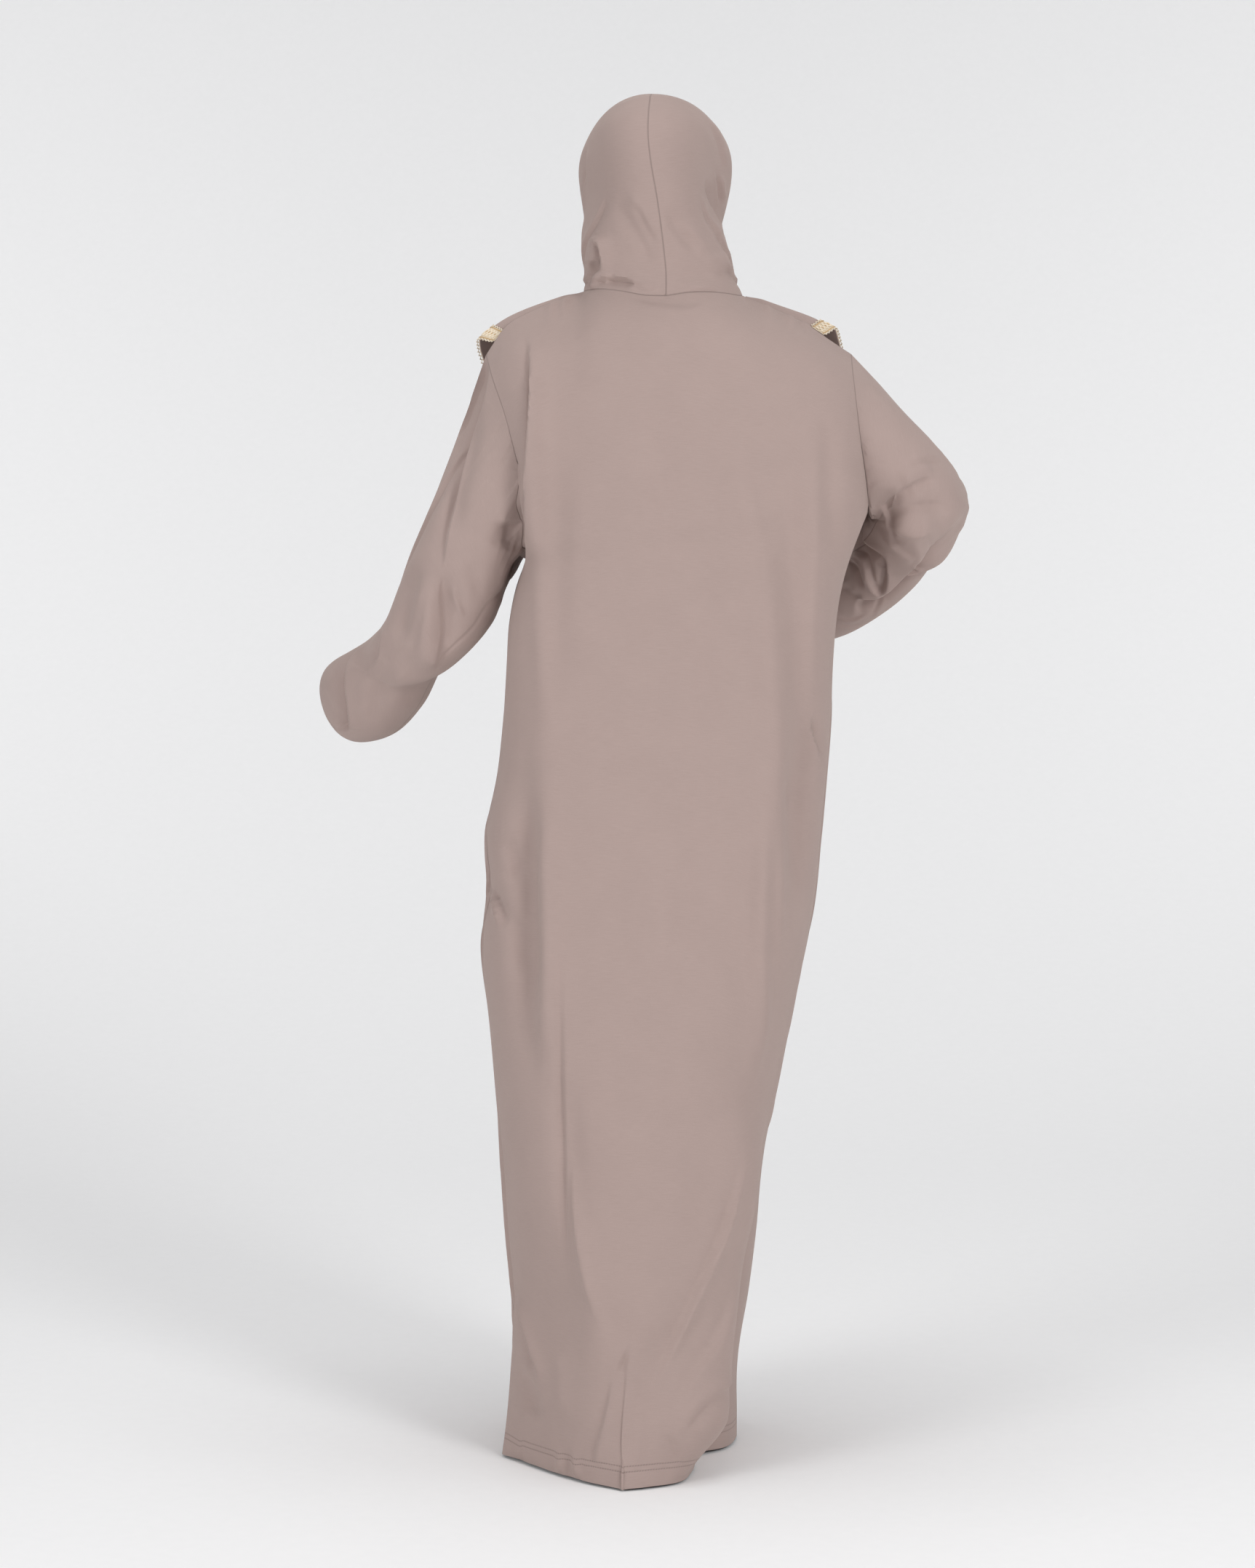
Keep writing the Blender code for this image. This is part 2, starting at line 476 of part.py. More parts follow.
def vertex_normals(grids, turned):
    """Outward normals, shared where panels meet so that their walls meet edge to edge.

    Body, sleeves and hood count alike at a seam, however large their quads are there.
    """
    totals = {}
    keys = {name: np.round(grid * 1e5).astype(int) for name, grid in grids.items()}
    for name, grid in grids.items():
        sign = -1.0 if name in turned else 1.0
        region = REGIONS[name]
        wide = grid.shape[1] if name in TUBES else grid.shape[1] - 1
        for i in range(grid.shape[0] - 1):
            for j in range(wide):
                corners = [(i, j), (i, (j + 1) % grid.shape[1])]
                corners += [(i + 1, (j + 1) % grid.shape[1]), (i + 1, j)]
                a, b, c, d = [grid[corner] for corner in corners]
                normal = sign * np.cross(c - a, d - b)
                for corner in corners:
                    regions = totals.setdefault(tuple(keys[name][corner]), {})
                    regions[region] = regions.get(region, np.zeros(3)) + normal
    normals = {}
    for name, grid in grids.items():
        result = np.zeros_like(grid)
        for corner in np.ndindex(grid.shape[:2]):
            regions = totals[tuple(keys[name][corner])].values()
            total = sum(normal / np.linalg.norm(normal) for normal in regions)
            result[corner] = total / np.linalg.norm(total)
        normals[name] = result
    return normals


REGIONS = {
    "back_panel": "body", "front_panel": "body", "sleeve_left": "sleeve",
    "sleeve_right": "sleeve", "hood_left": "hood", "hood_right": "hood",
}
SIDES = {
    "back": (0, (0.0, 1.0, 0.0)),
    "front": (0, (0.0, -1.0, 0.0)),
    "left": (1, (1.0, 0.0, 0.0)),
    "right": (1, (-1.0, 0.0, 0.0)),
}


def fold_shift(points, normals, folds):
    """How far the folds move each point: out or in along the cloth's normal, and sideways."""
    shift = np.zeros_like(points)
    for side, line, half_width, height, lean in folds:
        axis, facing = SIDES[side]
        flat = points[..., [axis, 2]]
        line = np.array(line)
        run = lengths(line)
        nearest = np.full(points.shape[:-1], 1e9)
        place = np.zeros(points.shape[:-1])
        for k in range(len(line) - 1):
            step = line[k + 1] - line[k]
            t = np.clip(((flat - line[k]) @ step) / (step @ step), 0.0, 1.0)
            distance = np.linalg.norm(flat - (line[k] + t[..., None] * step), axis=-1)
            closer = distance < nearest
            nearest = np.where(closer, distance, nearest)
            place = np.where(closer, (run[k] + t * (run[k + 1] - run[k])) / run[-1], place)
        ends = smoothstep(place / FOLD_ENDS) * np.maximum(
            smoothstep((1.0 - place) / FOLD_ENDS), float(line[-1, 1] < HEM_Z)
        )
        turned = smoothstep((normals @ np.array(facing)) / 0.45)
        amount = np.exp(-((nearest / half_width) ** 2)) * ends * turned
        shift += (height * amount)[..., None] * normals
        shift[..., axis] += lean * amount
    return shift


TUBES = ("sleeve_left", "sleeve_right")
TURNED = ("sleeve_right", "hood_left")


def garment_grids():
    """Outer surface of every cut piece but the cape, meeting exactly along the seams."""
    rings = skirt()
    top = rings[0]
    back_bottom = top[: BACK_COLUMNS + 1]
    front_bottom = np.concatenate([top[BACK_COLUMNS:], top[:1]])
    left_seam = seam_curve(SHOULDER_SEAM_LEFT, SHOULDER_LEFT)
    right_seam = seam_curve(SHOULDER_SEAM_RIGHT, SHOULDER_RIGHT)
    neck_back = [
        seam_curve(NECK_BACK_LEFT, NECK_BACK_HALF), seam_curve(NECK_BACK_RIGHT, NECK_BACK_HALF)
    ]
    neck_front = [
        seam_curve(NECK_FRONT_LEFT, NECK_FRONT_HALF), seam_curve(NECK_FRONT_RIGHT, NECK_FRONT_HALF)
    ]
    back_top = np.concatenate([left_seam, neck_back[0][1:], neck_back[1][1:], right_seam[1:]])
    front_top = np.concatenate([left_seam, neck_front[0][1:], neck_front[1][1:], right_seam[1:]])[::-1]
    arm = {
        "back_left": seam_curve(ARMHOLE_BACK_LEFT, UPPER_ROWS),
        "front_left": seam_curve(ARMHOLE_FRONT_LEFT, UPPER_ROWS),
        "back_right": seam_curve(ARMHOLE_BACK_RIGHT, UPPER_ROWS),
        "front_right": seam_curve(ARMHOLE_FRONT_RIGHT, UPPER_ROWS),
    }
    upper_back = upper_half(back_bottom, back_top, arm["back_left"], arm["back_right"], 1)
    upper_front = upper_half(front_bottom, front_top, arm["front_right"], arm["front_left"], 2)
    low_back = rings[::-1][:-1, : BACK_COLUMNS + 1]
    low_front = np.concatenate([rings[::-1][:-1, BACK_COLUMNS:], rings[::-1][:-1, :1]], axis=1)
    loops = {
        side: np.concatenate([arm["back_" + side], arm["front_" + side][::-1][1:-1]])
        for side in ("left", "right")
    }
    return {
        "back_panel": np.concatenate([low_back, upper_back]),
        "front_panel": np.concatenate([low_front, upper_front]),
        "sleeve_left": sleeve(loops["left"], SLEEVE_LEFT, -1.0),
        "sleeve_right": sleeve(loops["right"], SLEEVE_RIGHT, 1.0),
        "hood_left": hood_half(np.concatenate([neck_back[0][::-1], neck_front[0][1:]]), 1.0),
        "hood_right": hood_half(np.concatenate([neck_back[1], neck_front[1][::-1][1:]]), -1.0),
    }


def folded(grids):
    """The same surfaces with their largest folds. Seams keep one shape on both of their sides."""
    normals = vertex_normals(grids, TURNED)
    folds = {
        "back_panel": BODY_FOLDS, "front_panel": BODY_FOLDS,
        "sleeve_left": SLEEVE_FOLDS, "sleeve_right": SLEEVE_FOLDS,
        "hood_left": HOOD_FOLDS, "hood_right": HOOD_FOLDS,
    }
    settled = {}
    result = {}
    for name, grid in grids.items():
        moved = grid + fold_shift(grid, normals[name], folds[name])
        own = moved[0].copy()
        for corner in np.ndindex(grid.shape[:2]):
            key = tuple(np.round(grid[corner] * 1e5).astype(int))
            moved[corner] = settled.setdefault(key, moved[corner])
        if name in TUBES:
            fade = 1.0 - smoothstep(np.arange(1, len(grid)) / SEAM_FOLLOW_ROWS)
            moved[1:] += (moved[0] - own)[None] * fade[:, None, None]
        result[name] = moved
    return result


def drawn_in(name, grid):
    """A panel's grid with its borders half a seam gap short, so that no piece touches the next."""
    own = vertex_normals({name: grid}, TURNED)[name]
    borders = [((0, slice(None)), (1, slice(None))), ((-1, slice(None)), (-2, slice(None)))]
    if name not in TUBES:
        borders += [((slice(None), 0), (slice(None), 1)), ((slice(None), -1), (slice(None), -2))]
    result = grid.copy()
    for border, inside in borders:
        line = grid[border]
        along = np.gradient(line, axis=0)
        if name in TUBES:
            along = np.roll(line, -1, axis=0) - np.roll(line, 1, axis=0)
        way = np.cross(own[border], along)
        way /= np.linalg.norm(way, axis=1, keepdims=True)
        facing = np.sign(np.sum(way * (grid[inside] - line), axis=1, keepdims=True))
        result[border] += way * facing * SEAM_GAP / 2
    return result


def cloth_wall(name, outer, inner, closed, material, collection):
    """Closed thin wall between an outer and an inner grid of points."""
    rows, columns = outer.shape[:2]
    points = np.concatenate([outer.reshape(-1, 3), inner.reshape(-1, 3)])
    offset = rows * columns
    wide = columns if closed else columns - 1
    faces = []

    def place(i, j, layer):
        return layer * offset + i * columns + j % columns

    for i in range(rows - 1):
        for j in range(wide):
            a, b = place(i, j, 0), place(i, j + 1, 0)
            c, d = place(i + 1, j + 1, 0), place(i + 1, j, 0)
            faces += [(a, b, c), (a, c, d)]
            faces += [(c + offset, b + offset, a + offset), (d + offset, c + offset, a + offset)]
    rims = [
        [place(0, j, 0) for j in range(wide + 1)],
        [place(rows - 1, j, 0) for j in range(wide + 1)][::-1],
    ]
    if not closed:
        rims.append([place(i, 0, 0) for i in range(rows)][::-1])
        rims.append([place(i, columns - 1, 0) for i in range(rows)])
    for rim in rims:
        for a, b in zip(rim, rim[1:]):
            faces.append((b, a, a + offset, b + offset))
    mesh = bpy.data.meshes.new(name)
    mesh.from_pydata(points.tolist(), [], faces)
    mesh.validate()
    thing = bpy.data.objects.new(name, mesh)
    collection.objects.link(thing)
    mesh.materials.append(material)
    bpy.context.view_layer.objects.active = thing
    thing.select_set(True)
    bpy.ops.object.mode_set(mode="EDIT")
    bpy.ops.mesh.select_all(action="SELECT")
    bpy.ops.mesh.normals_make_consistent(inside=False)
    bpy.ops.object.mode_set(mode="OBJECT")
    thing.select_set(False)
    mesh.shade_smooth()
    mesh.set_sharp_from_angle(angle=math.radians(50))
    return thing


def surface_tree(grids, names):
    """Search tree of the panels that the cape lies on."""
    points, faces = [], []
    for name in names:
        grid = grids[name]
        rows, columns = grid.shape[:2]
        base = len(points)
        points += [Vector(point) for point in grid.reshape(-1, 3)]
        wide = columns if name in TUBES else columns - 1
        for i in range(rows - 1):
            for j in range(wide):
                a, b = base + i * columns + j, base + i * columns + (j + 1) % columns
                faces += [(a, b, b + columns), (a, b + columns, a + columns)]
    return BVHTree.FromPolygons(points, faces)


def cape_grid(grids):
    """Cape over the chest, made from the points of the panels under it, moved out.

    Rows run from the neck to the hem, columns from the left shoulder seam round to the right.
    """
    tree = surface_tree(grids, ("front_panel", "sleeve_left", "sleeve_right"))
    ends = np.array(CAPE_END_STEPS)
    middle = np.linspace(
        CAPE_MIDDLE_START, 1.0 - CAPE_MIDDLE_START, CAPE_COLUMNS + 1 - 2 * len(ends)
    )
    share = np.concatenate([ends, middle, 1.0 - ends[::-1]])
    hem_run = lengths(CAPE_HEM)
    hem = through(hem_run, CAPE_HEM, share * hem_run[-1])
    neck_line = np.array(NECK_FRONT_LEFT + NECK_FRONT_RIGHT[1:])
    neck_line = neck_line + BELOW_NECK_SEAM
    neck_line[:, 0] *= CAPE_NECK_SPREAD
    neck_run = lengths(neck_line)
    neck = through(neck_run, neck_line, share * neck_run[-1])
    braid_share = BRAID_WIDTH / np.linalg.norm(hem - neck, axis=1)
    rows = np.linspace(0.0, 1.0, CAPE_ROWS) ** CAPE_ROW_CROWDING
    down = np.array([
        np.append((1.0 - band) * rows, 1.0) for band in braid_share
    ]).T
    grid = np.zeros((*down.shape, 3))
    outward = np.zeros_like(grid)
    for i in range(len(down)):
        for j, u in enumerate(share):
            v = down[i, j]
            guess = (1 - v) * neck[j] + v * hem[j]
            swell = 4 * v * (1 - v) * 4 * u * (1 - u)
            guess = guess + CHEST_SWELL * swell
            spot, normal, _, _ = tree.find_nearest(Vector(guess))
            grid[i, j] = spot
            facing = normal.dot(Vector(guess + OUTSIDE_THE_CHEST) - spot)
            outward[i, j] = normal if facing > 0 else -normal
    for _ in range(2):
        beside = outward[1:-1, 2:] + outward[1:-1, :-2]
        outward[1:-1, 1:-1] += outward[2:, 1:-1] + outward[:-2, 1:-1] + beside
        outward /= np.linalg.norm(outward, axis=-1, keepdims=True)
    return grid, outward, share, down


def cape_lift(share, down):
    """Clearance of the cape's inner face from the panels under it."""
    u, v = share[None, :], down
    ends = np.minimum(u, 1 - u)
    off_seam = smoothstep(ends / CAPE_SEAM_SHARE)
    waves = 0.5 + 0.5 * np.sin(2 * math.pi * CAPE_WAVES * u + 0.6)
    puffs = np.where(u < 0.5, CAPE_END_PUFFS[0], CAPE_END_PUFFS[1])
    puff = puffs * np.exp(-((ends - CAPE_PUFF_PLACE) / CAPE_END_SPAN) ** 2) * smoothstep(v / 0.9)
    shoulder = np.exp(-(ends / CAPE_SHOULDER_SPAN) ** 2) * smoothstep(0.2 + 4 * v)
    puff = puff + CAPE_SHOULDER_PUFF * shoulder
    free = CAPE_CLEARANCE + CAPE_FLARE * v**2 + CAPE_WAVE_HEIGHT * waves * v + puff
    return CAPE_SEWN_GAP + free * off_seam


def main():
    clear_scene()
    collection = bpy.data.collections.new("prayer_dress")
    bpy.context.scene.collection.children.link(collection)
    jersey = fabric_material("cotton_jersey", TAUPE, 0.86)
    gimp = fabric_material("gimp_braid", CREAM, 0.60)

    grids = folded(garment_grids())
    normals = vertex_normals(grids, TURNED)
    for name, grid in grids.items():
        closed = name in TUBES
        outer = drawn_in(name, grid)
        inner = outer - WALL * normals[name]
        cloth_wall(name, outer, inner, closed, jersey, collection)

    base, outward, share, down = cape_grid(grids)
    lift = cape_lift(share, down)[..., None]
    cape_inner = base + outward * lift
    cape_outer = cape_inner + outward * WALL
    cloth_wall("front_cape", cape_outer, cape_inner, False, jersey, collection)

    braid_inner = (cape_outer + outward * SEAM_GAP)[-2:]
    braid_outer = braid_inner + outward[-2:] * BRAID_THICK
    cloth_wall("cape_braid", braid_outer, braid_inner, False, gimp, collection)


main()
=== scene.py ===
"""Prayer dress of taupe cotton jersey: its cloth, sewing and braid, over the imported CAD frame.

It is laid out as a Blender add-on, and the file is run as a script.
"""

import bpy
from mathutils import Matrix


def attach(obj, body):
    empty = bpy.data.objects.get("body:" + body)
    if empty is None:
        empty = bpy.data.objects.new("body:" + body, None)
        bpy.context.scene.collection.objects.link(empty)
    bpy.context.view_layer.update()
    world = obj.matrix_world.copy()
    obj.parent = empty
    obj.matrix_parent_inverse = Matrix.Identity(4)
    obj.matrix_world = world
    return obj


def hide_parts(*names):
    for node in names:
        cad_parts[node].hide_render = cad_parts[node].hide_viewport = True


bl_info = {
    "name": "Prayer dress",
    "version": (1, 0, 0),
    "blender": (4, 5, 0),
    "location": "View3D > Sidebar > Prayer dress",
    "description": "Builds a hooded prayer dress of cotton jersey in the shape it has when worn",
    "category": "Add Mesh",
}

import functools
import math

import bpy
import numpy as np
from mathutils import Vector
from mathutils.bvhtree import BVHTree

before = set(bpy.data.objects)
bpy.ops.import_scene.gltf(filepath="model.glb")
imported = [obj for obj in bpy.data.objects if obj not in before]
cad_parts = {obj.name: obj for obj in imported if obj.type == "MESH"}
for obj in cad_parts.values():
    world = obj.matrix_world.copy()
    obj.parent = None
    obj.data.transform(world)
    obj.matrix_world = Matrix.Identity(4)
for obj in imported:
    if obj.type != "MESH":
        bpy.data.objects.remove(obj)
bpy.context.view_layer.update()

# Camera and floor, in the row's frame
CAMERA_PLACE = (0.0377, 4.5, -0.26)
CAMERA_AIM = (0.0377, 0.0, -0.592)
CAMERA_LENS = 85.0
CAMERA_SENSOR = 36.0
PHOTO_WIDTH, PHOTO_HEIGHT = 1725, 2156
FLOOR_Z = -1.4135
PAPER_WIDTH = 24.0
PAPER_DEPTH = 14.0
PAPER_HEIGHT = 9.0
PAPER_BEND = 5.0
PAPER_BEND_STEPS = 24

# Lights: name, place, where it aims, size and watts
LIGHTS = [
    ("key", (-2.2, 3.5, 1.0), (0.0, 0.0, -0.5), 1.2, 70.0),
    ("fill", (3.0, 3.0, 0.2), (0.0, 0.0, -0.4), 1.8, 58.0),
    ("low", (-2.4, 2.6, -1.2), (-0.3, 0.0, -0.4), 0.8, 14.0),
    ("top", (0.0, 0.2, 3.4), (0.0, 0.0, -0.4), 2.4, 50.0),
    ("backdrop_left", (3.2, -3.0, 2.0), (1.0, -7.0, 0.0), 2.5, 37.0),
    ("backdrop_right", (-3.2, -3.0, 2.0), (-1.0, -7.0, 0.0), 2.5, 37.0),
]
WORLD_LIGHT = 0.45

# The cloth's form comes from the sizes and tables that the solids were made from, read at a
# spacing this many times finer.
DENSITY = 6
HEM_Z = -1.410
BRAID_WIDTH = 0.017
CAPE_CLEARANCE = 0.0030
SHOULDER_LEFT = 7 * DENSITY
NECK_BACK_HALF = 7 * DENSITY
NECK_FRONT_HALF = 5 * DENSITY
SHOULDER_RIGHT = 8 * DENSITY
BACK_COLUMNS = SHOULDER_LEFT + 2 * NECK_BACK_HALF + SHOULDER_RIGHT
FRONT_COLUMNS = SHOULDER_LEFT + 2 * NECK_FRONT_HALF + SHOULDER_RIGHT
UPPER_ROWS = 11 * DENSITY
SKIRT_ROWS = 28 * DENSITY
SLEEVE_STEPS = 18
SLEEVE_ROWS = SLEEVE_STEPS * DENSITY
HOOD_ROWS = 15 * DENSITY
EASE_COLUMNS = 1.5
EASE_ROWS = 0.5
CAPE_ROWS = 6
SHARP_ANGLE = 60
FAR_AWAY = 1e9
FAR_FROM_EDGES = 1.0

# Pieces that get more rows and twice the columns for their small creases
FINER_PIECES = ("sleeve_left", "sleeve_right", "hood_left", "hood_right")
FINER_ROWS = 1.5

# Braid and its cords, in metres. Sways are shares of a repeat, and lifts, swells and the cords'
# sizes are shares of the scroll cord's radius.
BRAID_THICK = 0.0010
BRAID_GAP = 0.0003
BRAID_END = 0.0005
CORD_SIDES = 6
CORD_STEPS = 16
CORD_RADIUS = 0.0007
SCROLL_STEP = 0.0115
SCROLL_REACH = 0.0052
SCROLL_SWAY = 0.12
SCROLL_LIFT = 0.6
RING_RADIUS = 0.0018
RING_POINTS = 11
RING_CORD = 0.7
PICOT_STEP = 0.0052
PICOT_REACH = 0.0026
PICOT_SWAY = 0.30
PICOT_CORD = 0.75
EDGE_CORD_PLACE = 0.43
EDGE_CORD_SWELL = 0.3
EDGE_CORD = 0.85
GROUND_THREAD = 0.0016

# Half widths of the lines that a seam and a row of stitches draw in the cloth
SEAM_HALF_WIDTH = 0.0012
STITCH_HALF_WIDTH = 0.0013

# Body below the underarm, a row for each level: where its left and right sides are widest,
# how far its back and front stand out, and how square each corner of the section is.
BODY_COLUMNS = (
    "left_z", "left_x", "left_y", "right_z", "right_x", "right_y",
    "back_y", "front_y", "back_left", "back_right", "front",
)
BODY = [
    (-0.318, 0.160, 0.000, -0.262, -0.2537, 0.000, 0.134, -0.139, 3.4, 3.2, 2.8),
    (-0.350, 0.1720, 0.008, -0.310, -0.2330, 0.005, 0.1345, -0.140, 3.4, 3.2, 2.8),
    (-0.392, 0.1805, 0.016, -0.362, -0.2190, 0.005, 0.1355, -0.141, 3.2, 3.1, 2.7),
    (-0.445, 0.184, 0.020, -0.425, -0.2126, 0.005, 0.138, -0.143, 3.0, 3.0, 2.6),
    (-0.520, 0.189, 0.015, -0.500, -0.2095, 0.005, 0.141, -0.147, 2.9, 2.9, 2.5),
    (-0.590, 0.197, 0.010, -0.580, -0.2040, 0.005, 0.146, -0.151, 2.8, 2.8, 2.4),
    (-0.632, 0.2075, 0.008, -0.632, -0.1993, 0.005, 0.149, -0.154, 2.7, 2.7, 2.4),
    (-0.665, 0.2145, 0.005, -0.665, -0.1965, 0.005, 0.152, -0.156, 2.6, 2.7, 2.4),
    (-0.715, 0.208, 0.005, -0.715, -0.1920, 0.005, 0.156, -0.160, 2.6, 2.6, 2.4),
    (-0.786, 0.2155, 0.005, -0.786, -0.1812, 0.005, 0.162, -0.164, 2.5, 2.5, 2.4),
    (-0.880, 0.2068, 0.008, -0.880, -0.1615, 0.000, 0.169, -0.168, 2.4, 2.5, 2.4),
    (-0.970, 0.1990, 0.012, -0.970, -0.1445, -0.005, 0.176, -0.172, 2.3, 2.4, 2.3),
    (-1.045, 0.1925, 0.016, -1.045, -0.1318, -0.015, 0.182, -0.175, 2.2, 2.4, 2.3),
    (-1.150, 0.1850, 0.022, -1.150, -0.1215, -0.025, 0.190, -0.178, 1.85, 2.1, 2.3),
    (-1.222, 0.1775, 0.028, -1.222, -0.1125, -0.030, 0.197, -0.180, 1.6, 1.8, 2.3),
    (-1.313, 0.1810, 0.036, -1.313, -0.0985, -0.037, 0.209, -0.182, 1.36, 1.6, 2.3),
    (-1.380, 0.1870, 0.043, -1.380, -0.0985, -0.043, 0.217, -0.184, 1.15, 1.5, 2.3),
    (HEM_Z, 0.1910, 0.046, HEM_Z, -0.0985, -0.046, 0.220, -0.185, 1.07, 1.46, 2.3),
]

# Depth of the upper back and chest on the centre line: the share of the way from the underarm up
# to the neck, and the y of the back and of the front
DEPTH = [
    (0.00, 0.134, -0.139),
    (0.25, 0.1325, -0.1385),
    (0.50, 0.126, -0.133),
    (0.75, 0.108, -0.116),
    (0.90, 0.089, -0.099),
    (1.00, 0.071, -0.086),
]

# Power of the height by which a panel takes on the shape of its neck and shoulder seams
NECK_REACH = 3

# Seam lines, each a smooth curve through its points (x, y, z)
ARMHOLE_BACK_LEFT = [
    (0.160, 0.000, -0.318), (0.159, 0.042, -0.301), (0.160, 0.068, -0.262),
    (0.164, 0.081, -0.222), (0.173, 0.084, -0.184), (0.184, 0.074, -0.145),
    (0.199, 0.045, -0.103), (0.2086, 0.000, -0.072),
]
ARMHOLE_FRONT_LEFT = [
    (0.160, 0.000, -0.318), (0.156, -0.042, -0.302), (0.156, -0.068, -0.262),
    (0.160, -0.080, -0.222), (0.168, -0.080, -0.180), (0.180, -0.068, -0.140),
    (0.196, -0.040, -0.100), (0.2086, 0.000, -0.072),
]
ARMHOLE_BACK_RIGHT = [
    (-0.2537, 0.000, -0.262), (-0.2515, 0.036, -0.248), (-0.2465, 0.060, -0.217),
    (-0.2398, 0.070, -0.174), (-0.2350, 0.062, -0.130), (-0.2325, 0.036, -0.094),
    (-0.2326, 0.000, -0.0712),
]
ARMHOLE_FRONT_RIGHT = [
    (-0.2537, 0.000, -0.262), (-0.2480, -0.036, -0.248), (-0.2380, -0.062, -0.215),
    (-0.2290, -0.070, -0.170), (-0.2260, -0.060, -0.128), (-0.2290, -0.035, -0.094),
    (-0.2326, 0.000, -0.0712),
]
SHOULDER_SEAM_LEFT = [
    (0.2086, 0.000, -0.072), (0.1995, 0.000, -0.058), (0.1900, 0.000, -0.044),
    (0.1770, 0.000, -0.0315), (0.1600, 0.000, -0.0225), (0.1400, 0.000, -0.0130),
    (0.1150, 0.000, -0.0035), (0.0905, 0.000, 0.004),
]
SHOULDER_SEAM_RIGHT = [
    (-0.1010, 0.000, -0.001), (-0.1320, 0.000, -0.0135), (-0.1580, 0.000, -0.0250),
    (-0.1770, 0.000, -0.0340), (-0.1900, 0.000, -0.0428), (-0.2080, 0.000, -0.0550),
    (-0.2326, 0.000, -0.0712),
]
NECK_BACK_LEFT = [
    (0.0905, 0.000, 0.004), (0.0840, 0.028, 0.004), (0.0670, 0.050, 0.004),
    (0.0450, 0.064, 0.001), (0.0180, 0.070, -0.004), (-0.0080, 0.071, -0.005),
]
NECK_BACK_RIGHT = [
    (-0.0080, 0.071, -0.005), (-0.0350, 0.069, -0.001), (-0.0600, 0.060, 0.000),
    (-0.0820, 0.043, -0.001), (-0.0950, 0.023, -0.002), (-0.1010, 0.000, -0.001),
]
NECK_FRONT_LEFT = [
    (0.0905, 0.000, 0.004), (0.0860, -0.030, -0.008), (0.0700, -0.057, -0.027),
    (0.0420, -0.079, -0.042), (0.0000, -0.086, -0.047),
]
NECK_FRONT_RIGHT = [
    (0.0000, -0.086, -0.047), (-0.0450, -0.079, -0.042), (-0.0800, -0.057, -0.029),
    (-0.0960, -0.030, -0.012), (-0.1010, 0.000, -0.001),
]

# Sleeves, a row for each section across the arm: its outer and inner points, how deep it is
# behind and before the line between them, and how square it is.
SLEEVE_COLUMNS = (
    "outer_x", "outer_y", "outer_z", "inner_x", "inner_y", "inner_z", "behind", "before", "square",
)
SLEEVE_LEFT = [
    (0.2086, 0.000, -0.072, 0.160, 0.000, -0.318, 0.082, 0.078, 2.4),
    (0.225, 0.000, -0.119, 0.173, -0.004, -0.330, 0.080, 0.074, 2.4),
    (0.250, -0.005, -0.188, 0.182, -0.006, -0.346, 0.078, 0.072, 2.4),
    (0.276, -0.010, -0.258, 0.189, -0.008, -0.361, 0.075, 0.070, 2.4),
    (0.306, -0.020, -0.328, 0.195, -0.012, -0.379, 0.071, 0.066, 2.4),
    (0.329, -0.038, -0.385, 0.210, -0.018, -0.407, 0.068, 0.062, 2.4),
    (0.344, -0.065, -0.407, 0.237, -0.030, -0.436, 0.066, 0.058, 2.3),
    (0.361, -0.096, -0.421, 0.273, -0.058, -0.460, 0.062, 0.054, 2.3),
    (0.382, -0.128, -0.434, 0.303, -0.090, -0.509, 0.058, 0.050, 2.3),
    (0.397, -0.155, -0.444, 0.337, -0.119, -0.541, 0.052, 0.044, 2.2),
    (0.4025, -0.172, -0.451, 0.364, -0.141, -0.549, 0.042, 0.038, 2.2),
    (0.404, -0.186, -0.459, 0.380, -0.164, -0.546, 0.031, 0.029, 2.0),
]
SLEEVE_RIGHT = [
    (-0.2326, 0.000, -0.0712, -0.2537, 0.000, -0.262, 0.070, 0.070, 2.4),
    (-0.260, 0.000, -0.100, -0.2600, -0.004, -0.263, 0.071, 0.071, 2.4),
    (-0.292, -0.008, -0.135, -0.2640, -0.006, -0.266, 0.072, 0.068, 2.4),
    (-0.325, -0.016, -0.170, -0.2650, -0.010, -0.270, 0.072, 0.064, 2.4),
    (-0.354, -0.028, -0.205, -0.2640, -0.018, -0.276, 0.071, 0.060, 2.4),
    (-0.377, -0.045, -0.232, -0.2610, -0.032, -0.284, 0.069, 0.056, 2.3),
    (-0.3695, -0.065, -0.2535, -0.2570, -0.048, -0.292, 0.064, 0.055, 2.3),
    (-0.3465, -0.090, -0.2775, -0.2510, -0.066, -0.300, 0.059, 0.055, 2.3),
    (-0.326, -0.122, -0.325, -0.2440, -0.092, -0.308, 0.054, 0.055, 2.3),
    (-0.303, -0.150, -0.362, -0.2370, -0.120, -0.316, 0.050, 0.051, 2.3),
    (-0.277, -0.174, -0.390, -0.2280, -0.148, -0.325, 0.047, 0.047, 2.2),
    (-0.245, -0.194, -0.412, -0.2140, -0.174, -0.337, 0.044, 0.044, 2.2),
    (-0.201, -0.212, -0.427, -0.1900, -0.198, -0.351, 0.040, 0.040, 2.2),
    (-0.159, -0.224, -0.432, -0.1640, -0.214, -0.362, 0.035, 0.035, 2.1),
    (-0.131, -0.230, -0.433, -0.1400, -0.223, -0.370, 0.029, 0.029, 2.0),
]

